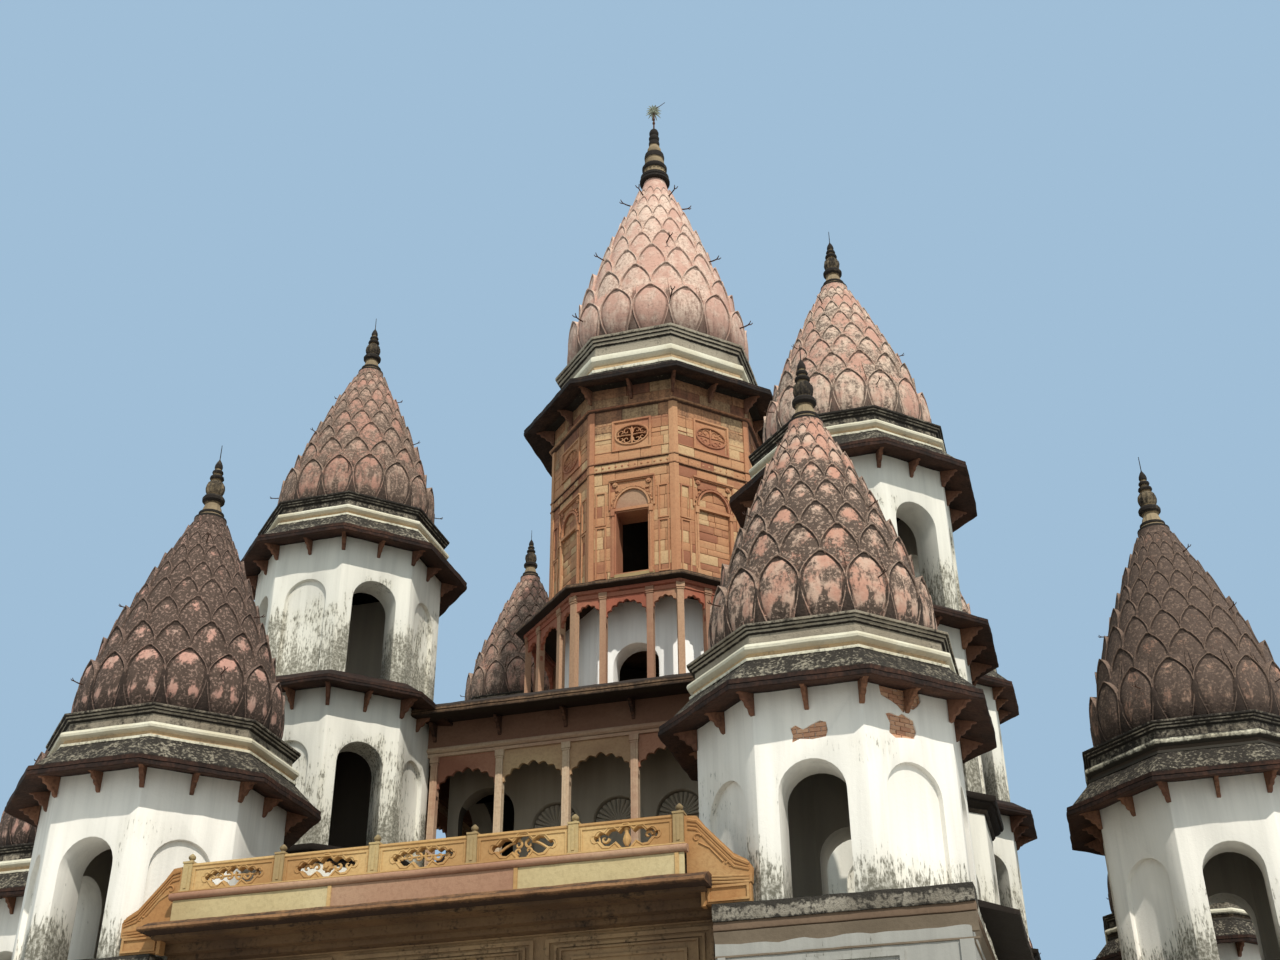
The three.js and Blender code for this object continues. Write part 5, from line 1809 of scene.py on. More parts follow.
depths = (SCREEN_FACE - 0.02, SCREEN_BACK + 0.09)
fascia = block(-SCREEN_HALF, SCREEN_HALF, *depths, MOULD_TOP - 0.01, ARCADE_TOP)
screen = united(
    painted(1, *[plate for k, plate in enumerate(plates) if k not in TAN_BAYS]),
    painted(4, *[plates[k] for k in TAN_BAYS]),
    painted(0, *posts, rail, moulding),
    painted(2, fascia),
)
spots = [((x, SCREEN_FACE - 0.015, ARCADE_TOP - 0.03), (0, 0, 0), (0.9, 0.80, 0.86))
         for x in post_places if abs(x) < SCREEN_HALF]
for k, side in enumerate(SIDES):
    struts = painted(3, copied(BRACKET, spots, BRACKET_STONE, 50 + k))
    whole = united((united(screen, struts), at(turn=k * QUARTER)))
    tinted(whole, 0.5, (2.3, 2.9, 0))
    point_values(whole, "soot", lambda co: 0.12 if co.z > MOULD_TOP else 0.0)
    finishes = [POST_STONE, FRINGE_STONE, FASCIA_STONE, BRACKET_STONE, TAN_PANEL]
    dressed(f"arcade_{side}_screen", whole, finishes, [f"arcade_{side}"], 40)

# %% Room behind the screens, with doorways and shell niches
CORE_FACE, CORE_BACK = -3.0, -2.65
NICHES = (-1.07, 0.0, 1.07)
NICHE_HALF, NICHE_FOOT, NICHE_HEAD, NICHE_DEEP = 0.40, 8.95, 10.0, 0.12
NICHE_SPRING = NICHE_HEAD - NICHE_HALF
FLUTES = 13
DOOR_X, DOOR_HALF, DOOR_HEAD = 2.3, 0.5, 10.40


def shell_niche():
    """Flutes that fan out under the head of a niche at x = 0."""
    parts = []
    for k in range(FLUTES):
        angle = math.pi * (k + 0.5) / FLUTES
        path = []
        for reach in (0.05, 0.16, 0.27, 0.375):
            x, z = reach * math.cos(angle), NICHE_SPRING + reach * math.sin(angle)
            path.append((x, CORE_FACE + 0.085 - 0.04 * reach, z))
        parts.append(rod(path, [0.010, 0.020, 0.032, 0.040], 6))
    parts.append((BEAD, sized((0, CORE_FACE + 0.07, NICHE_SPRING), (0.12, 0.10, 0.12))))
    rim = NICHE_HALF + 0.01
    parts.append(half_ring(rim, rim, 0.03, NICHE_SPRING, CORE_FACE - 0.02, CORE_FACE + 0.01))
    return united(*parts)


depths = (CORE_FACE - PAST, CORE_FACE + NICHE_DEEP)
cutters = [extruded(round_arch(NICHE_HALF, NICHE_FOOT, NICHE_HEAD, x), *depths) for x in NICHES]
depths = (CORE_FACE - PAST, CORE_BACK + PAST)
for x in (-DOOR_X, DOOR_X):
    cutters.append(extruded(round_arch(DOOR_HALF, SECOND_FLOOR - 0.1, DOOR_HEAD, x), *depths))
outer, inner = -CORE_FACE * math.sqrt(2), -CORE_BACK * math.sqrt(2)
walls = [(outer, SECOND_FLOOR), (outer, ARCADE_TOP), (inner, ARCADE_TOP), (inner, SECOND_FLOOR)]
core = cut_away(carried(walls, 4), four_sides(united(*cutters)), 0.008)
core = united(core, four_sides(united(*[(shell_niche(), at(x)) for x in NICHES])))
core = lined(risen(core, SECOND_FLOOR, ARCADE_TOP), 1)
# The room's outer faces are darkened as painted shade, and its inward faces darker still.
finishes = [SHADE_DARKENED_PLASTER, DEEP_SHADE_PLASTER]
dressed("inner_room_walls", core, finishes, ["inner_room"], 35)

# %% Ledges of the upper terrace
TIP = 4.72
EDGE_FOOT = ARCADE_TOP - 0.14


def squared(profile, cuts, amount):
    """A closed profile of (distance to a side, height, soot) carried round a square."""
    rings = [(face * math.sqrt(2), z, soot) for face, z, soot in profile]
    return ragged(carried(rings, 4, cuts), amount, 4.0)


ledge = squared([
    (3.85, ARCADE_TOP, 0.5), (3.95, ARCADE_TOP - 0.005, 0.5), (4.30, ARCADE_TOP - 0.07, 0.45),
    (4.66, EDGE_FOOT, 0.40), (TIP - 0.01, EDGE_FOOT + 0.01, 0.20), (TIP, EDGE_FOOT + 0.05, 0.05),
    (TIP - 0.025, EDGE_FOOT + 0.06, 0.3), (TIP - 0.005, EDGE_FOOT + 0.075, 0.05),
    (TIP - 0.01, EDGE_FOOT + 0.125, 0.25), (4.60, EDGE_FOOT + 0.155, 0.35),
    (4.22, UPPER_TERRACE - 0.01, 0.3), (3.85, UPPER_TERRACE - 0.01, 0.3),
], 40, 0.014)
deck = block(-4.0, 4.0, -4.0, 4.0, ARCADE_TOP + 0.005, UPPER_TERRACE - 0.02)
low, high = MIDDLE_HEIGHT + 0.02, MIDDLE_HEIGHT + 0.245
middle_eave = tower_eave(MIDDLE_HEIGHT, -0.085, 0.02, 1.70, 0.245)
disc = turned([(0, low), (WALL, low), (WALL + 0.05, high), (0, high)], 8)
corner = painted(2, middle_eave, (disc, at(turn=EIGHTH / 2)))
corners = [(corner, at(*axis_of(f"high_drum_{place}"), SECOND_FLOOR)) for place in HIGH]
terrace = united(painted(0, ledge, deck), *corners)
finishes = [BUFF_LEDGE, ROUGH_BAND, EAVE_STONE]
dressed("upper_terrace_ledges", terrace, finishes, ["upper_terrace"], 35)
for seed, place in enumerate(HIGH):
    struts = brackets(WALL, MIDDLE_HEIGHT - 0.01, 0.88, 60 + seed)
    struts = placed(struts, *axis_of(f"high_drum_{place}"), SECOND_FLOOR)
    dressed(f"middle_drum_{place}_brackets", struts, [BRACKET_STONE])

# %% [markdown]
# ## First floor and its moulded slab
# The first floor repeats the octagons of the towers, joined by walls with three doorways.
# The floor above it shows as a moulding that rain has turned nearly black.

# %% Moulded slab between the floors
SLAB_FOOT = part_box("second_floor")[0].z
SLAB_RINGS = [
    (-0.30, -0.03, 0.3), (0.02, -0.03, 0.1), (0.05, 0.01, 0.0), (0.05, 0.035, 0.3),
    (0.10, 0.05, 0.45), (0.145, 0.085, 0.3), (0.145, 0.105, 0.5), (0.18, 0.115, 0.5),
    (0.20, 0.15, 0.4), (0.20, 0.195, 0.45), (0.10, 0.225, 0.5), (-0.30, 0.225, 0.4),
]
SLAB_HALF = 4.05


def slab_profile(face):
    return [(face + out, SLAB_FOOT + z, soot) for out, z, soot in SLAB_RINGS]


ring = ragged(carried(slab_profile(WALL), 8, 12), 0.008, 5.0)
top = SLAB_FOOT + 0.22
plug = turned([(0, SLAB_FOOT), (WALL, SLAB_FOOT), (WALL, top), (0, top)], 8)
tower_slab = united(ring, (plug, at(turn=EIGHTH / 2)))
square = (-SLAB_HALF, SLAB_HALF, -SLAB_HALF, SLAB_HALF)
floor_slab = united(
    block(*square, SLAB_FOOT, SECOND_FLOOR - 0.005),
    squared(slab_profile(SLAB_HALF), 30, 0.008),
    *[(tower_slab, at(*axis_of(f"middle_drum_{place}"))) for place in HIGH],
)
dressed("second_floor_moulding", floor_slab, [LEDGE_STONE], ["second_floor"], 35)

# %% First-floor walls
FIRST_TALL = SLAB_FOOT - TERRACE
FIRST_FACE, FIRST_BACK = -4.05, -3.75
FIRST_DOORS = (-1.8, 0.0, 1.8)
wall_half = GRID - WALL * CORNER + 0.10
depths = (FIRST_FACE - 0.15, FIRST_BACK + 0.15)
doors = [extruded(round_arch(0.5, -0.1, 2.0, x), *depths) for x in FIRST_DOORS]
wall = block(-wall_half, wall_half, FIRST_FACE, FIRST_BACK, 0.0, FIRST_TALL)
hood = half_ring(0.53, 0.53, 0.05, 1.5, FIRST_FACE - 0.025, FIRST_FACE + 0.02)
first_floor = united(
    (drum(FIRST_TALL, HIGH_ARCH_TALL, DIAGONAL_SIDES), at(-GRID, -GRID)),
    cut_away(wall, united(*doors), 0.01),
    *[(hood, at(x)) for x in FIRST_DOORS],
)
risen(first_floor, 0.0, FIRST_TALL)
for k, side in enumerate(SIDES):
    walls = placed(first_floor, 0, 0, TERRACE, k * QUARTER)
    node = f"first_floor_{side}"
    dressed(f"{node}_walls", walls, [STAINED_PLASTER], [node], 30)
print("upper storeys dressed")

# %% [markdown]
# ## Balcony
# A stone band with a torus and a ragged lip carries a balustrade of five pierced panels. The
# first and third panels have the same scrolls in their slot, and the others each have their own
# ornament. At each end a wing slopes down like a scroll to the roof edge.

# %% Pierced panels
RAIL_Y = -10.45
RAIL_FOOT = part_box("balustrade")[0].z
RAIL_TOP = RAIL_FOOT + 0.35
RAIL_NEAR, RAIL_FAR = RAIL_Y - 0.045, RAIL_Y + 0.045
RAIL_BAY, RAIL_HALF = 1.2, 3.0
PANEL_HALF = 0.56
SLOT_HALF, SLOT_RISE, SLOT_MIDDLE = 0.37, 0.060, RAIL_FOOT + 0.172
PANELS = [("scrolls", 9), ("rosette", 7), ("scrolls", 9), ("lyre", 5), ("urn", 7)]
CARVED = 0.020  # half as thick as the carving is


def cartouche(wider, taller, x, lobes):
    """A long slot with lobed edges and pointed ends, as (across, up) points."""
    half, rise = SLOT_HALF + wider, SLOT_RISE + taller
    above = lobed(half, SLOT_MIDDLE, SLOT_MIDDLE + rise, lobes, x, 3)
    mirrored = lobed(half, SLOT_MIDDLE, SLOT_MIDDLE + rise * 0.9, 5, x, 3)
    below = [(px, 2 * SLOT_MIDDLE - pz) for px, pz in mirrored]
    return above + below[-2:0:-1]


def slot_ornament(kind, x):
    """The carving left standing inside a slot."""

    def stem(points, radii, sides=5):
        return rod([(x + px, RAIL_Y, SLOT_MIDDLE + pz) for px, pz in points], radii, sides)

    def curls(out, up, start, turns, size):
        """A pair of scrolls, one on each side of the middle."""
        return [scroll(x + side * out, SLOT_MIDDLE + up, start, side * turns, size, RAIL_Y, CARVED)
                for side in BOTH]

    if kind == "urn":
        urn = [(0, -0.10), (0, -0.04), (0, 0), (0, 0.05), (0, 0.10)]
        parts = [stem(urn, [0.020, 0.050, 0.042, 0.022, 0.035], 8)]
        parts += curls(0.25, 0, 0.0, 0.8, 0.05)
        parts += [stem([(side * 0.30, -0.09), (side * 0.33, 0.09)], 0.012) for side in BOTH]
    elif kind == "lyre":
        parts = curls(0.065, 0.03, math.pi / 2, 0.85, 0.055)
        parts += curls(0.060, -0.045, -math.pi / 2, 0.85, 0.045)
        for side in BOTH:
            bow = [(side * (0.10 + 0.055 * k), 0.06 * math.cos(math.pi * k / 5)) for k in range(6)]
            parts.append(stem(bow, CARVED * 0.8))
    elif kind == "scrolls":
        parts = [stem([(-0.33, 0), (0, 0.012), (0.33, 0)], [0.012, 0.014, 0.012])]
        for out, size in ((0.07, 0.060), (0.18, 0.055), (0.28, 0.040)):
            parts += curls(out, 0, math.pi / 2 + out * 9, 0.9, size)
    else:
        parts = [(ROSETTE, sized((x, RAIL_Y, SLOT_MIDDLE), (0.075, 0.12, 0.075)))]
        parts += curls(0.14, 0, math.pi, 0.85, 0.055)
        parts += curls(0.26, 0, 0.0, -0.8, 0.048)
    return united(*parts)


def pierced_panel(kind, lobes, x):
    """A panel with a lobed slot, a raised line round it, a frame and the carving inside."""
    slab = block(x - PANEL_HALF, x + PANEL_HALF, RAIL_NEAR, RAIL_FAR, RAIL_FOOT, RAIL_TOP)
    slot = extruded(cartouche(0, 0, x, lobes), RAIL_NEAR - PAST, RAIL_FAR + PAST)
    line = cartouche(0.03, 0.022, x, lobes)
    frame_half = PANEL_HALF - 0.045
    return united(
        cut_away(slab, slot),
        rod([(px, RAIL_NEAR, pz) for px, pz in line + line[:1]], 0.011),
        border(x - frame_half, x + frame_half, RAIL_FOOT + 0.03, RAIL_TOP - 0.055, 0.014,
               RAIL_NEAR - 0.012, RAIL_NEAR + 0.01),
        slot_ornament(kind, x),
    )


panels = [pierced_panel(*panel, (k - 2) * RAIL_BAY) for k, panel in enumerate(PANELS)]
coping = lengthways([
    (RAIL_FAR + 0.01, RAIL_TOP - 0.03), (RAIL_NEAR - 0.006, RAIL_TOP - 0.03),
    (RAIL_NEAR - 0.014, RAIL_TOP - 0.02), (RAIL_NEAR - 0.010, RAIL_TOP + 0.005),
    (RAIL_FAR + 0.01, RAIL_TOP + 0.005),
], -RAIL_HALF, RAIL_HALF)
knob = turned([
    (0.0, 0.0), (0.060, 0.0), (0.066, 0.012), (0.040, 0.028), (0.030, 0.040), (0.048, 0.055),
    (0.056, 0.075), (0.050, 0.095), (0.030, 0.115), (0.012, 0.130), (0.0, 0.134),
], 12)
rail_post = united(
    block(-0.058, 0.058, RAIL_Y - 0.075, RAIL_Y + 0.06, RAIL_FOOT - 0.01, RAIL_TOP + 0.03),
    block(-0.068, 0.068, RAIL_Y - 0.088, RAIL_Y + 0.065, RAIL_FOOT - 0.01, RAIL_FOOT + 0.035),
    block(-0.066, 0.066, RAIL_Y - 0.084, RAIL_Y + 0.065, RAIL_TOP + 0.01, RAIL_TOP + 0.032),
    block(-0.018, 0.018, RAIL_Y - 0.084, RAIL_Y, RAIL_FOOT + 0.06, RAIL_TOP - 0.03),
    (knob, sized((0, RAIL_Y, RAIL_TOP + 0.03), (0.8, 0.8, 0.85))),
)
posts = [(rail_post, at((k - 2.5) * RAIL_BAY)) for k in range(6)]
rail = tinted(united(painted(0, *panels, coping), painted(1, *posts)), 0.5, (2.6, 0, 0))


def rail_soot(co):
    if co.z < RAIL_FOOT + 0.04:
        return 0.10
    return 0.3 if co.z > RAIL_TOP + 0.033 else 0.0


point_values(rail, "soot", rail_soot)
dressed("balustrade_panels", rail, [OCHRE_STONE, KNOB_STONE], ["balustrade"], 40)

# %% Band, torus and lip
BAND_FACE, BAND_BACK = -10.60, -10.20
BAND_HALF = 3.08
BAND_FOOT, BAND_TOP = 6.31, 6.55
BAND_JOINTS = (-1.07, 1.17, 3.0)  # where one stretch of the band stops and the next begins
LIP_FACE, LIP_HALF, LIP_Z = -10.84, 3.35, 6.16
RECESS_BACK = -9.86


def bar(section, x0, x1, steps=60, amount=0.006):
    """A section in (y, z), or (y, z, soot), along X in short steps, with worn edges."""
    bm = bmesh.new()
    layer = bm.verts.layers.float.new("soot")
    rings = []
    for k in range(steps + 1):
        x = x0 + (x1 - x0) * k / steps
        ring = []
        for y, z, *soot in section:
            vert = bm.verts.new((x, y, z))
            vert[layer] = soot[0] if soot else 0.0
            ring.append(vert)
        rings.append(ring)
    skinned(bm, rings)
    bm.faces.new(rings[0])
    bm.faces.new(rings[-1][::-1])
    return ragged(closed(bm), amount, 5.0)


def torus_section(y, z, half, soot, steps=8):
    angles = [math.pi * (k / steps - 0.5) for k in range(steps + 1)]
    curve = [(y - half * math.cos(angle), z + half * math.sin(angle)) for angle in angles]
    points = [(y + 0.05, z - half)] + curve + [(y + 0.05, z + half)]
    return [(*point, soot) for point in points]


# The core and the courses under the lip take the stone that is darkened as painted shade.
core = united(
    block(-BAND_HALF, BAND_HALF, BAND_FACE + 0.03, BAND_BACK, 6.14, RAIL_FOOT),
    block(-LIP_HALF + 0.05, LIP_HALF - 0.05, BAND_FACE, RECESS_BACK, 6.13, 6.20),
    block(-LIP_HALF + 0.02, LIP_HALF - 0.02, -10.30, RECESS_BACK, 6.03, 6.14),
    block(-LIP_HALF + 0.02, LIP_HALF - 0.02, -10.16, RECESS_BACK, 5.97, 6.04),
)
reach = BAND_HALF + 0.04
torus = bar(torus_section(BAND_FACE - 0.005, 6.595, 0.042, -0.04), -reach, reach)
cap = bar([
    (BAND_FACE, 6.632), (BAND_FACE - 0.015, 6.64), (BAND_FACE - 0.015, 6.652),
    (BAND_BACK, 6.652), (BAND_BACK, 6.632),
], -BAND_HALF - 0.02, BAND_HALF + 0.02)
depths, heights = (BAND_FACE, BAND_FACE + 0.1), (BAND_FOOT, BAND_TOP)
ends = [-BAND_HALF - 0.02, *BAND_JOINTS, BAND_HALF + 0.02]
stretches = [block(x0 + 0.02, x1 - 0.02, *depths, *heights) for x0, x1 in zip(ends, ends[1:])]
pink = stretches.pop(1)
joints = [block(x - 0.022, x + 0.022, BAND_FACE - 0.014, BAND_FACE + 0.1, *heights)
          for x in BAND_JOINTS]
lip = bar([
    (BAND_BACK + 0.2, 6.17, 0.5), (-10.70, LIP_Z + 0.005, 0.35),
    (LIP_FACE + 0.02, LIP_Z + 0.01, 0.15), (LIP_FACE, LIP_Z + 0.025, 0.0),
    (LIP_FACE + 0.005, LIP_Z + 0.055, 0.05), (-10.74, LIP_Z + 0.085, 0.2),
    (BAND_FACE - 0.03, BAND_FOOT, 0.1), (BAND_BACK + 0.2, BAND_FOOT, 0.3),
], -LIP_HALF, LIP_HALF, 90, 0.012)
balcony = united(
    painted(0, cap, *joints),
    painted(1, *stretches),
    painted(2, pink, torus),
    painted(3, lip),
    painted(4, core),
)
tinted(balcony, 0.4, (1.7, 0, 0), 0.5, 0.5)
finishes = [OCHRE_STONE, YELLOW_BAND, PINK_BAND, LIP_STONE, SHADED_UNDER_STONE]
dressed("balcony_band_mouldings", balcony, finishes, ["balcony_band"], 40)

# %% Sloping wings
WING_NEAR, WING_FAR = -10.49, -10.39
BOARD = [(3.06, 6.30), (3.42, 6.30), (3.78, 6.20), (3.79, 6.37), (3.74, 6.44), (3.60, 6.52),
         (3.30, 6.84), (3.20, 6.97), (3.06, 6.985)]
LINE = [(3.10, 6.965, 1), (3.20, 6.945, 1), (3.32, 6.81, 1), (3.60, 6.505, 1), (3.76, 6.41, 0.6)]
LOWER_BOARD = [(3.27, 6.0), (3.77, 6.0), (3.77, 6.26), (3.27, 6.33)]


def wing():
    """The right-hand wing: a raked board with raised lines and scrolls, over a small panel."""
    y = WING_NEAR - 0.003
    parts = [
        extruded(BOARD, WING_NEAR, WING_FAR),
        scroll(3.20, 6.72, 0.4, 0.9, 0.055, y, 0.016),
        scroll(3.55, 6.40, 2.8, -0.8, 0.045, y, 0.014),
        rod([(3.22, y, 6.67), (3.34, y, 6.60), (3.48, y, 6.44)], [0.014, 0.012, 0.014]),
        extruded(LOWER_BOARD, WING_NEAR + 0.012, WING_FAR),
        border(3.30, 3.75, 6.02, 6.19, 0.025, WING_NEAR - 0.012, WING_NEAR + 0.02),
        block(3.23, 3.275, WING_NEAR - 0.010, WING_FAR, 5.98, 6.36),
    ]
    for drop, out in ((0.035, 0.030), (0.085, 0.018), (0.13, 0.022)):
        line = [(x, WING_NEAR - 0.002, z - drop * share) for x, z, share in LINE]
        parts.append(rod(line, out * 0.7, 6))
    near = WING_NEAR + 0.004
    for z in (6.215, 6.25, 6.28):
        line = [(3.30, near, z + 0.012), (3.50, WING_NEAR + 0.002, z), (3.76, near, z - 0.012)]
        parts.append(rod(line, 0.014, 6))
    return united(*parts)


def mirrored(mesh):
    """A copy of the mesh with its left and right sides changed round."""
    copy = united((mesh, Matrix.Diagonal((-1, 1, 1, 1))))
    copy.flip_normals()
    return copy


right_wing = wing()
for name, mesh in (("right", right_wing), ("left", mirrored(right_wing))):
    tinted(mesh, 0.3, (5, 0, 9), 0.35)
    node = f"balcony_wing_{name}"
    dressed(f"{node}_scrolls", mesh, [WING_STONE], [node], 40)

# %% [markdown]
# ## Roof edge of the ground storey
# The corner blocks end in a slab that is black with lichen, over a brown ledge and a shaded
# cove. The middle of the front is set back, under the shade of the balcony, and its wall is
# laid out in nested frames. The other three sides repeat the same edge under a parapet.

# %% Lines round the cross plan
ARM_HALF, ARM_END = 5.99, 10.45
RECESS_HALF, RECESS_FACE = 3.35, -9.90
EDGE = [(0.075, 5.80, 0.15), (0.085, 5.84, 0.05), (0.080, 5.92, 0.12), (0.065, 5.985, 0.30),
        (-0.25, 6.0, 0.3), (-0.25, 5.80, 0.3)]
LEDGE = [(0.0, 5.70), (0.050, 5.715), (0.058, 5.745), (0.045, 5.80), (-0.1, 5.80), (-0.1, 5.70)]
COVE = [(-0.05, 5.52), (-0.010, 5.525), (-0.005, 5.56), (0.010, 5.61), (0.030, 5.665),
        (0.040, 5.70), (-0.05, 5.71)]
FINE_LINE = [(-0.02, 5.435), (0.016, 5.44), (0.018, 5.458), (-0.02, 5.465)]
FLANK_EAVE = [(-6.03, 5.93, 0.3), (-6.44, 5.80, 0.2), (-6.45, 5.855, 0.1), (-6.03, 6.0, 0.3)]
PARAPET_HALF, PARAPET_TALL = 3.1, 0.56


def run(section, x0, x1, steps, amount):
    """A section in (distance out from the wall, height, soot) along the front wall."""
    return bar([(-ARM_END - out, *rest) for out, *rest in section], x0, x1, steps, amount)


def corner_bands(section, steps=20, amount=0.008):
    """A band along the end walls of all four arms, but for their middle."""
    spans = [beside(side, RECESS_HALF, ARM_HALF + 0.07) for side in BOTH]
    return four_sides(united(*[run(section, *span, steps, amount) for span in spans]))


def flank_bands(section):
    """The same band along the flanks of the arms, from the end to the inner corner."""
    moved = [(out - (ARM_END - ARM_HALF), *rest) for out, *rest in section]
    spans = [beside(side, ARM_HALF, ARM_END) for side in BOTH]
    return four_sides(united(*[run(moved, *span, 20, 0.008) for span in spans]))


inside = ARM_END - 0.2
slab_core = [
    block(-ARM_HALF, ARM_HALF, -9.85, inside, 5.78, 5.99),
    block(-ARM_HALF, -RECESS_HALF, -inside, -9.8, 5.78, 5.985),
    block(RECESS_HALF, ARM_HALF, -inside, -9.8, 5.78, 5.985),
    block(-inside, inside, -ARM_HALF, ARM_HALF, 5.78, 5.985),
]
flank = bar(FLANK_EAVE, -9.80, -ARM_HALF - 0.06, 30, 0.012)
middle_edge = run(EDGE, -RECESS_HALF, RECESS_HALF, 24, 0.010)
y, z = -ARM_END, TERRACE + PARAPET_TALL
coping_half = PARAPET_HALF + 0.02
frames = [border(x - 0.55, x + 0.55, TERRACE + 0.10, z - 0.10, 0.04, y - 0.018, y + 0.01)
          for x in (-2.4, -1.2, 0, 1.2, 2.4)]
blank_side = united(
    painted(0, middle_edge),
    painted(1, block(-coping_half, coping_half, y - 0.03, y + 0.18, z - 0.03, z + 0.04)),
    painted(2, block(-PARAPET_HALF, PARAPET_HALF, y, y + 0.15, TERRACE - 0.02, z), *frames),
)
roof = united(
    painted(0, corner_bands(EDGE, 36, 0.014)),
    painted(1, *slab_core, four_sides(united(flank, mirrored(flank)))),
    *[(blank_side, at(turn=k * QUARTER)) for k in range(1, 4)],
)
point_values(roof, "rise", lambda co: 0.3)
finishes = [ROUGH_EDGE, LEDGE_STONE, STAINED_PLASTER]
dressed("ground_roof_edge", roof, finishes, ["ground_roof"], 35)

# %% Ground-storey walls with their bands
PLINTH_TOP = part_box("plinth")[1].z
WALL_HEAD = 5.75


def solid_copy(node):
    """A copy of a plain solid, in place, for a shape that needs nothing more than a finish."""
    source = bpy.data.objects[node]
    mesh = source.data.copy()
    mesh.transform(source.matrix_world)
    mesh.materials.clear()
    return mesh


def wall_frames():
    """Two nested frames on each corner block of the front, and a strip along its edges."""
    parts = []
    for side in BOTH:
        x0, x1 = beside(side, 4.30, 5.30)
        for inset, wide in ((0.0, 0.05), (0.09, 0.03)):
            near = -ARM_END - 0.028 + inset * 0.15
            parts.append(border(x0 + inset, x1 - inset, 1.5 + inset, 5.38 - inset, wide,
                                near, -ARM_END + 0.01))
        for inner, outer in ((3.38, 3.46), (5.86, 6.0)):
            depths = (-ARM_END - 0.03, -ARM_END + 0.01)
            parts.append(block(*beside(side, inner, outer), *depths, PLINTH_TOP, 5.44))
    return united(*parts)


frames = wall_frames()
for k, side in enumerate(SIDES):
    node = f"ground_walls_{side}"
    walls = risen(united(solid_copy(node), (frames, at(turn=k * QUARTER))), PLINTH_TOP, WALL_HEAD)
    dressed(f"{node}_plaster", walls, [GROUND_PLASTER], [node], 30)
bands = united(
    painted(0, corner_bands(LEDGE), flank_bands(LEDGE)),
    painted(1, corner_bands(COVE), flank_bands(COVE), corner_bands(FINE_LINE), flank_bands(FINE_LINE)),
)
dressed("ground_wall_bands", bands, [WALL_LEDGE, COVE_PLASTER])

# %% Weathered frames on the set-back wall
RECESS_FRAMES = [(0.0, 0.045, 0.055), (0.10, 0.030, 0.045), (0.17, 0.020, 0.060), (0.30, 0.030, 0.050)]
parts = [
    block(-RECESS_HALF, RECESS_HALF, RECESS_FACE - 0.02, RECESS_FACE + 0.05, 5.02, 6.135),
    block(-RECESS_HALF, RECESS_HALF, RECESS_FACE - 0.09, RECESS_FACE, 5.96, 6.02),
]
for x0, x1 in ((-3.22, -1.30), (-1.16, 1.16), (1.30, 3.22)):
    for inset, wide, out in RECESS_FRAMES:
        low, high = 5.10 + inset * 0.7, 5.92 - inset * 0.7
        depths = (RECESS_FACE - out, RECESS_FACE)
        parts.append(border(x0 + inset, x1 - inset, low, high, wide, *depths))
recess = point_values(united(*parts), "tint", lambda co: 0.5)
dressed("recess_wall_frames", recess, [WEATHERED_PANEL])

# %% Portico, plinth and steps
PLINTH_BANDS = [(0.0, 0.16), (0.76, 0.84)]
rims = []
for bay in (-1, 0, 1):
    curve = lobed(0.93, 3.72, 4.70, 9, bay * 2 * RECESS_HALF / 3)
    rims.append(rod([(x, -9.86, z) for x, z in curve], 0.022, 6))
portico = tinted(united(solid_copy("portico_arches"), *rims), 0.3, (2, 0, 3))
dressed("portico_arches_stone", portico, [OCHRE_STONE], ["portico_arches"], 30)
bands = []
for low, high in PLINTH_BANDS:
    section = [(0.255, low), (0.255, high), (-0.1, high), (-0.1, low)]
    bands.append(four_sides(run(section, -6.2, 6.2, 4, 0.0)))
plinth = united(solid_copy("plinth"), *bands)
dressed("plinth_stone", plinth, [LEDGE_STONE], ["plinth"], 30)
steps = worn_edges(solid_copy("front_steps"), 0.012)
dressed("front_steps_stone", steps, [LEDGE_STONE], ["front_steps"], 30)
print("balcony and ground storey dressed")

# %% [markdown]
# ## Ironwork on the spires
# Small forked hooks of iron stand out between the petals, where ropes or lamps can be tied.
# The central spire also carries a rod with a bristling metal crown and a bent lightning rod.
# One hook mesh is copied to all of its places.

# %% One forked hook, and rings of it
def forked_hook():
    """A stem that reaches towards -Y from the origin and ends in two prongs."""
    parts = [rod([(0, 0.10, 0), (0, -0.13, 0.01), (0, -0.23, 0.03)], [0.018, 0.016, 0.014])]
    for side in BOTH:
        prong = [(0, -0.22, 0.03), (side * 0.030, -0.27, 0.04), (side * 0.045, -0.30, 0.08)]
        parts.append(rod(prong, [0.013, 0.012, 0.009]))
    return united(*parts)


HOOK = forked_hook()


def hook_ring(foot, radius, height, share, count, offset, size):
    """Spots for hooks in a ring round a bud, at a share of its height."""
    reach = radius * (bud_reach(share) - 0.03)
    spots = []
    for k in range(count):
        turn = offset + (k + random.uniform(-0.12, 0.12)) * math.tau / count
        x, y, z = around(reach, turn, foot[2] + height * share)
        lean, swing = random.uniform(-0.2, 0.25), random.uniform(-0.2, 0.2)
        spots.append(((foot[0] + x, foot[1] + y, z), (lean, 0.0, turn + swing), (size, size, size)))
    return spots


# %% Hooks on every bud
CENTRAL_HOOKS = [(0.14, 26), (0.49, 24), (0.86, 50)]  # share of the height and degrees of turn
TOWER_HOOKS = [(0.16, 4), (0.50, 3), (0.80, 2)]  # share of the height and number of hooks
random.seed(7)
foot = (0, 0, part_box("central_lotus")[0].z + CENTRAL_CORNICE)
central_spots = []
for share, offset in CENTRAL_HOOKS:
    offset = math.radians(offset)
    central_spots += hook_ring(foot, CENTRAL_RADIUS, CENTRAL_TALL, share, 6, offset, 1.0)
tower_spots = []
for node in [f"lotus_{place}" for place in LOW] + [f"high_lotus_{place}" for place in HIGH]:
    foot = (*axis_of(node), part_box(node)[0].z + TOWER_CORNICE)
    for share, count in TOWER_HOOKS:
        offset = random.uniform(0, 6)
        tower_spots += hook_ring(foot, TOWER_RADIUS, TOWER_TALL, share, count, offset, 0.55)
dressed("tower_spire_hooks", copied(HOOK, tower_spots, IRON, 3), [IRON])

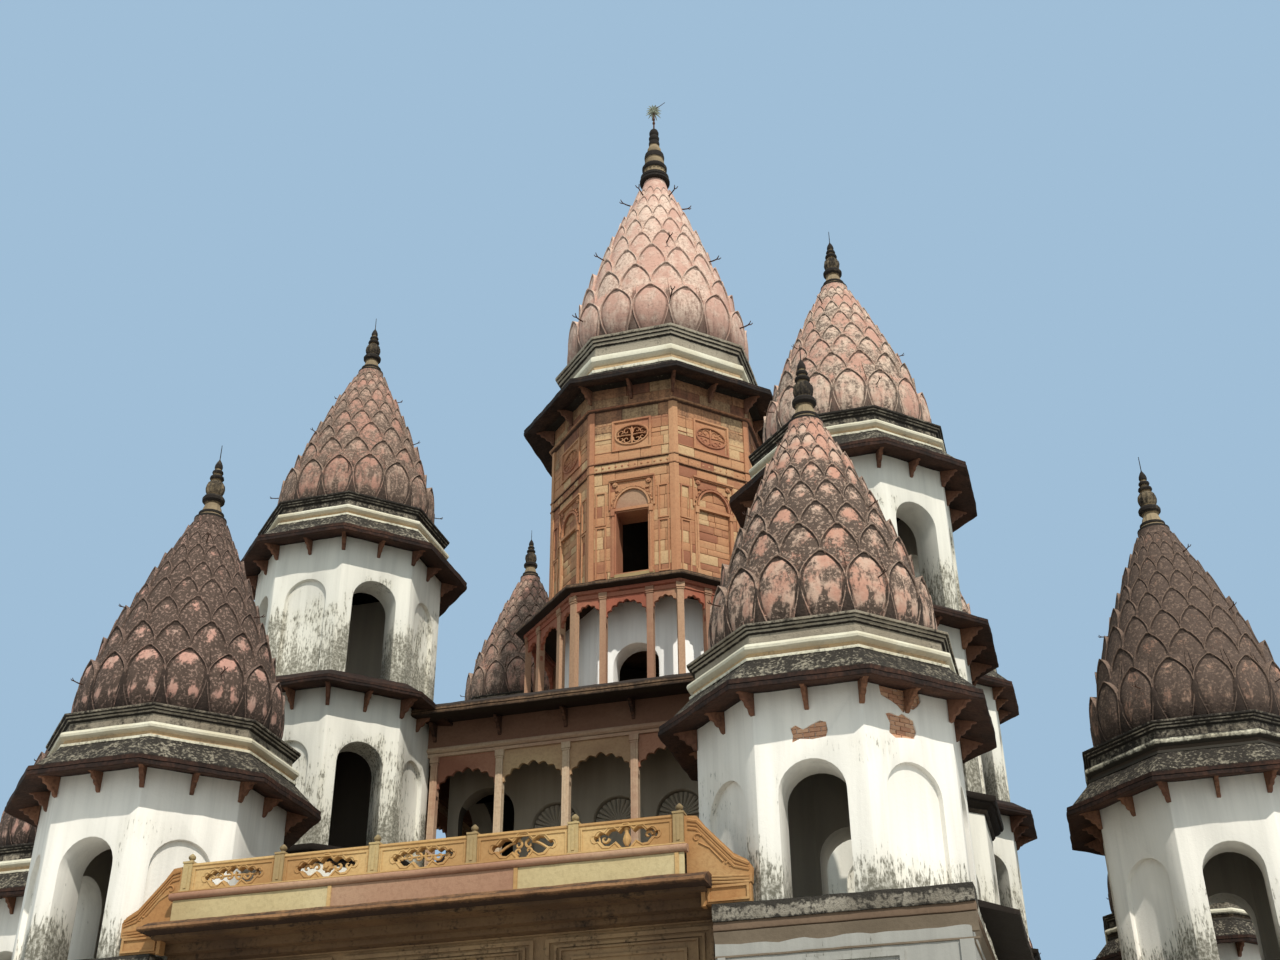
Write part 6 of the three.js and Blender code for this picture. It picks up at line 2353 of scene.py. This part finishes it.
# %% Crown and lightning rod on the central spire
CROWN_LEAVES = [(0, 9, 0.17, -0.13), (1, 13, 0.20, 0.01), (2, 9, 0.13, 0.12)]
crown_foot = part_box("central_lotus")[1].z
middle = crown_foot + 0.62
boss = turned([(0.0, -0.05), (0.05, -0.04), (0.075, 0.0), (0.06, 0.045), (0.0, 0.06)], 12)
leaves = [(boss, at(0, 0, middle))]
for ring, count, reach, rise in CROWN_LEAVES:
    for k in range(count):
        turn = (k + 0.37 * ring) * math.tau / count
        out = reach * random.uniform(0.85, 1.1)
        spine = [(0.03, 0.04 * ring - 0.05), (0.6 * out, 0.7 * rise + 0.02), (out, rise - 0.01)]
        path = [(r * math.cos(turn), r * math.sin(turn), middle + z) for r, z in spine]
        leaves.append(rod(path, [0.018, 0.017, 0.005]))
iron = [copied(HOOK, central_spots, IRON, 5)]
for x, rise in ((-0.05, 0.19), (0.0, 0.17), (0.05, 0.19)):
    iron.append(rod([(x, 0, middle), (x * 1.2, 0, middle + rise)], [0.011, 0.006]))
iron.append(rod([(0, 0, crown_foot + 0.05), (0.01, 0, middle)], [0.020, 0.016], 8))
for z in (crown_foot + 0.22, crown_foot + 0.34):
    iron.append(rod([(0, 0, z), (0, 0, z + 0.05)], [0.034, 0.030], 8))
bent = [(0.04, 0, middle + 0.02), (0.10, -0.02, middle + 0.08), (0.30, -0.05, crown_foot + 0.79)]
iron.append(rod(bent, [0.010, 0.010, 0.007]))
ironwork = united(painted(0, *iron), painted(1, *leaves))
dressed("central_spire_ironwork", ironwork, [IRON, CROWN_METAL])
print("hooks:", len(central_spots) + len(tower_spots))

# %% [markdown]
# ## Whatever still shows its plain solid
# A few solids already have the right shape and only need a finish.

# %% Finishes for the remaining solids
SLOT_FINISH = {
    "lime_plaster": CLEAN_PLASTER,
    "sandstone": FRINGE_STONE,
    "ochre_stone": OCHRE_STONE,
    "lotus_plaster": BROWN_LOTUS,
    "weathered_stone": LEDGE_STONE,
}
for part in frame["record"]["subparts"]:
    solid = bpy.data.objects.get(part["node"])
    if solid and solid.type == "MESH":
        for slot in solid.material_slots:
            slot.material = SLOT_FINISH[part["material_slot"]]

# %% [markdown]
# ## Camera, sun and floor
# The photograph was taken at eye level from the right of the steps, looking steeply up. The
# sun stands high to the right of the camera, so every eave throws a band of shade.

# %% Camera
CAMERA_PLACE = (7.106, -26.131, 1.6)
YAW, PITCH, ROLL = math.radians(-16.08), math.radians(30.86), math.radians(-0.53)
camera_data = bpy.data.cameras.new("camera")
camera_data.sensor_width = 36
camera_data.lens = 42.91
camera_data.clip_end = 500
camera = new_object("camera", camera_data)
forward = Vector((math.sin(YAW) * math.cos(PITCH), math.cos(YAW) * math.cos(PITCH), math.sin(PITCH)))
level = Vector((math.cos(YAW), -math.sin(YAW), 0))
above = level.cross(forward)
right = level * math.cos(ROLL) + above * math.sin(ROLL)
top = above * math.cos(ROLL) - level * math.sin(ROLL)
view = Matrix((right, top, -forward)).transposed().to_4x4()
camera.matrix_world = at(*CAMERA_PLACE) @ view
bpy.context.scene.camera = camera

# %% Sun and soft sky
SEEN_SKY = (0.352, 0.515, 0.680, 1.0)
SKY_LIGHT = (0.68, 0.785, 0.84, 1.0)
sun_data = bpy.data.lights.new("sun", "SUN")
sun_data.energy = 3.42
sun_data.angle = math.radians(0.8)
sun_data.color = (1.0, 0.96, 0.89)
sun = new_object("sun", sun_data)
sun.rotation_euler = Vector((0.413, -0.589, 0.695)).to_track_quat("Z", "Y").to_euler()
world = bpy.data.worlds.new("sky")
world.use_nodes = True
sky = Pen(world.node_tree)
seen = sky.add("ShaderNodeLightPath").outputs["Is Camera Ray"]
background = world.node_tree.nodes["Background"].inputs
sky.put(sky.mix(seen, SKY_LIGHT, SEEN_SKY), background["Color"])
background["Strength"].default_value = 1.0
bpy.context.scene.world = world
bpy.context.scene.view_settings.view_transform = "Standard"

# %% Floor
ground = bpy.data.materials.new("pale floor")
ground.use_nodes = True
surface = ground.node_tree.nodes["Principled BSDF"].inputs
surface["Base Color"].default_value = (0.44, 0.42, 0.39, 1.0)
surface["Roughness"].default_value = 0.95
floor_mesh = block(-90, 90, -90, 90, -0.02, 0.0)
floor_mesh.materials.append(ground)
new_object("floor", floor_mesh)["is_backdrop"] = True

# %% Sizes, then the end
corners = [list(corner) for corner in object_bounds()]
print("visual box:", corners)
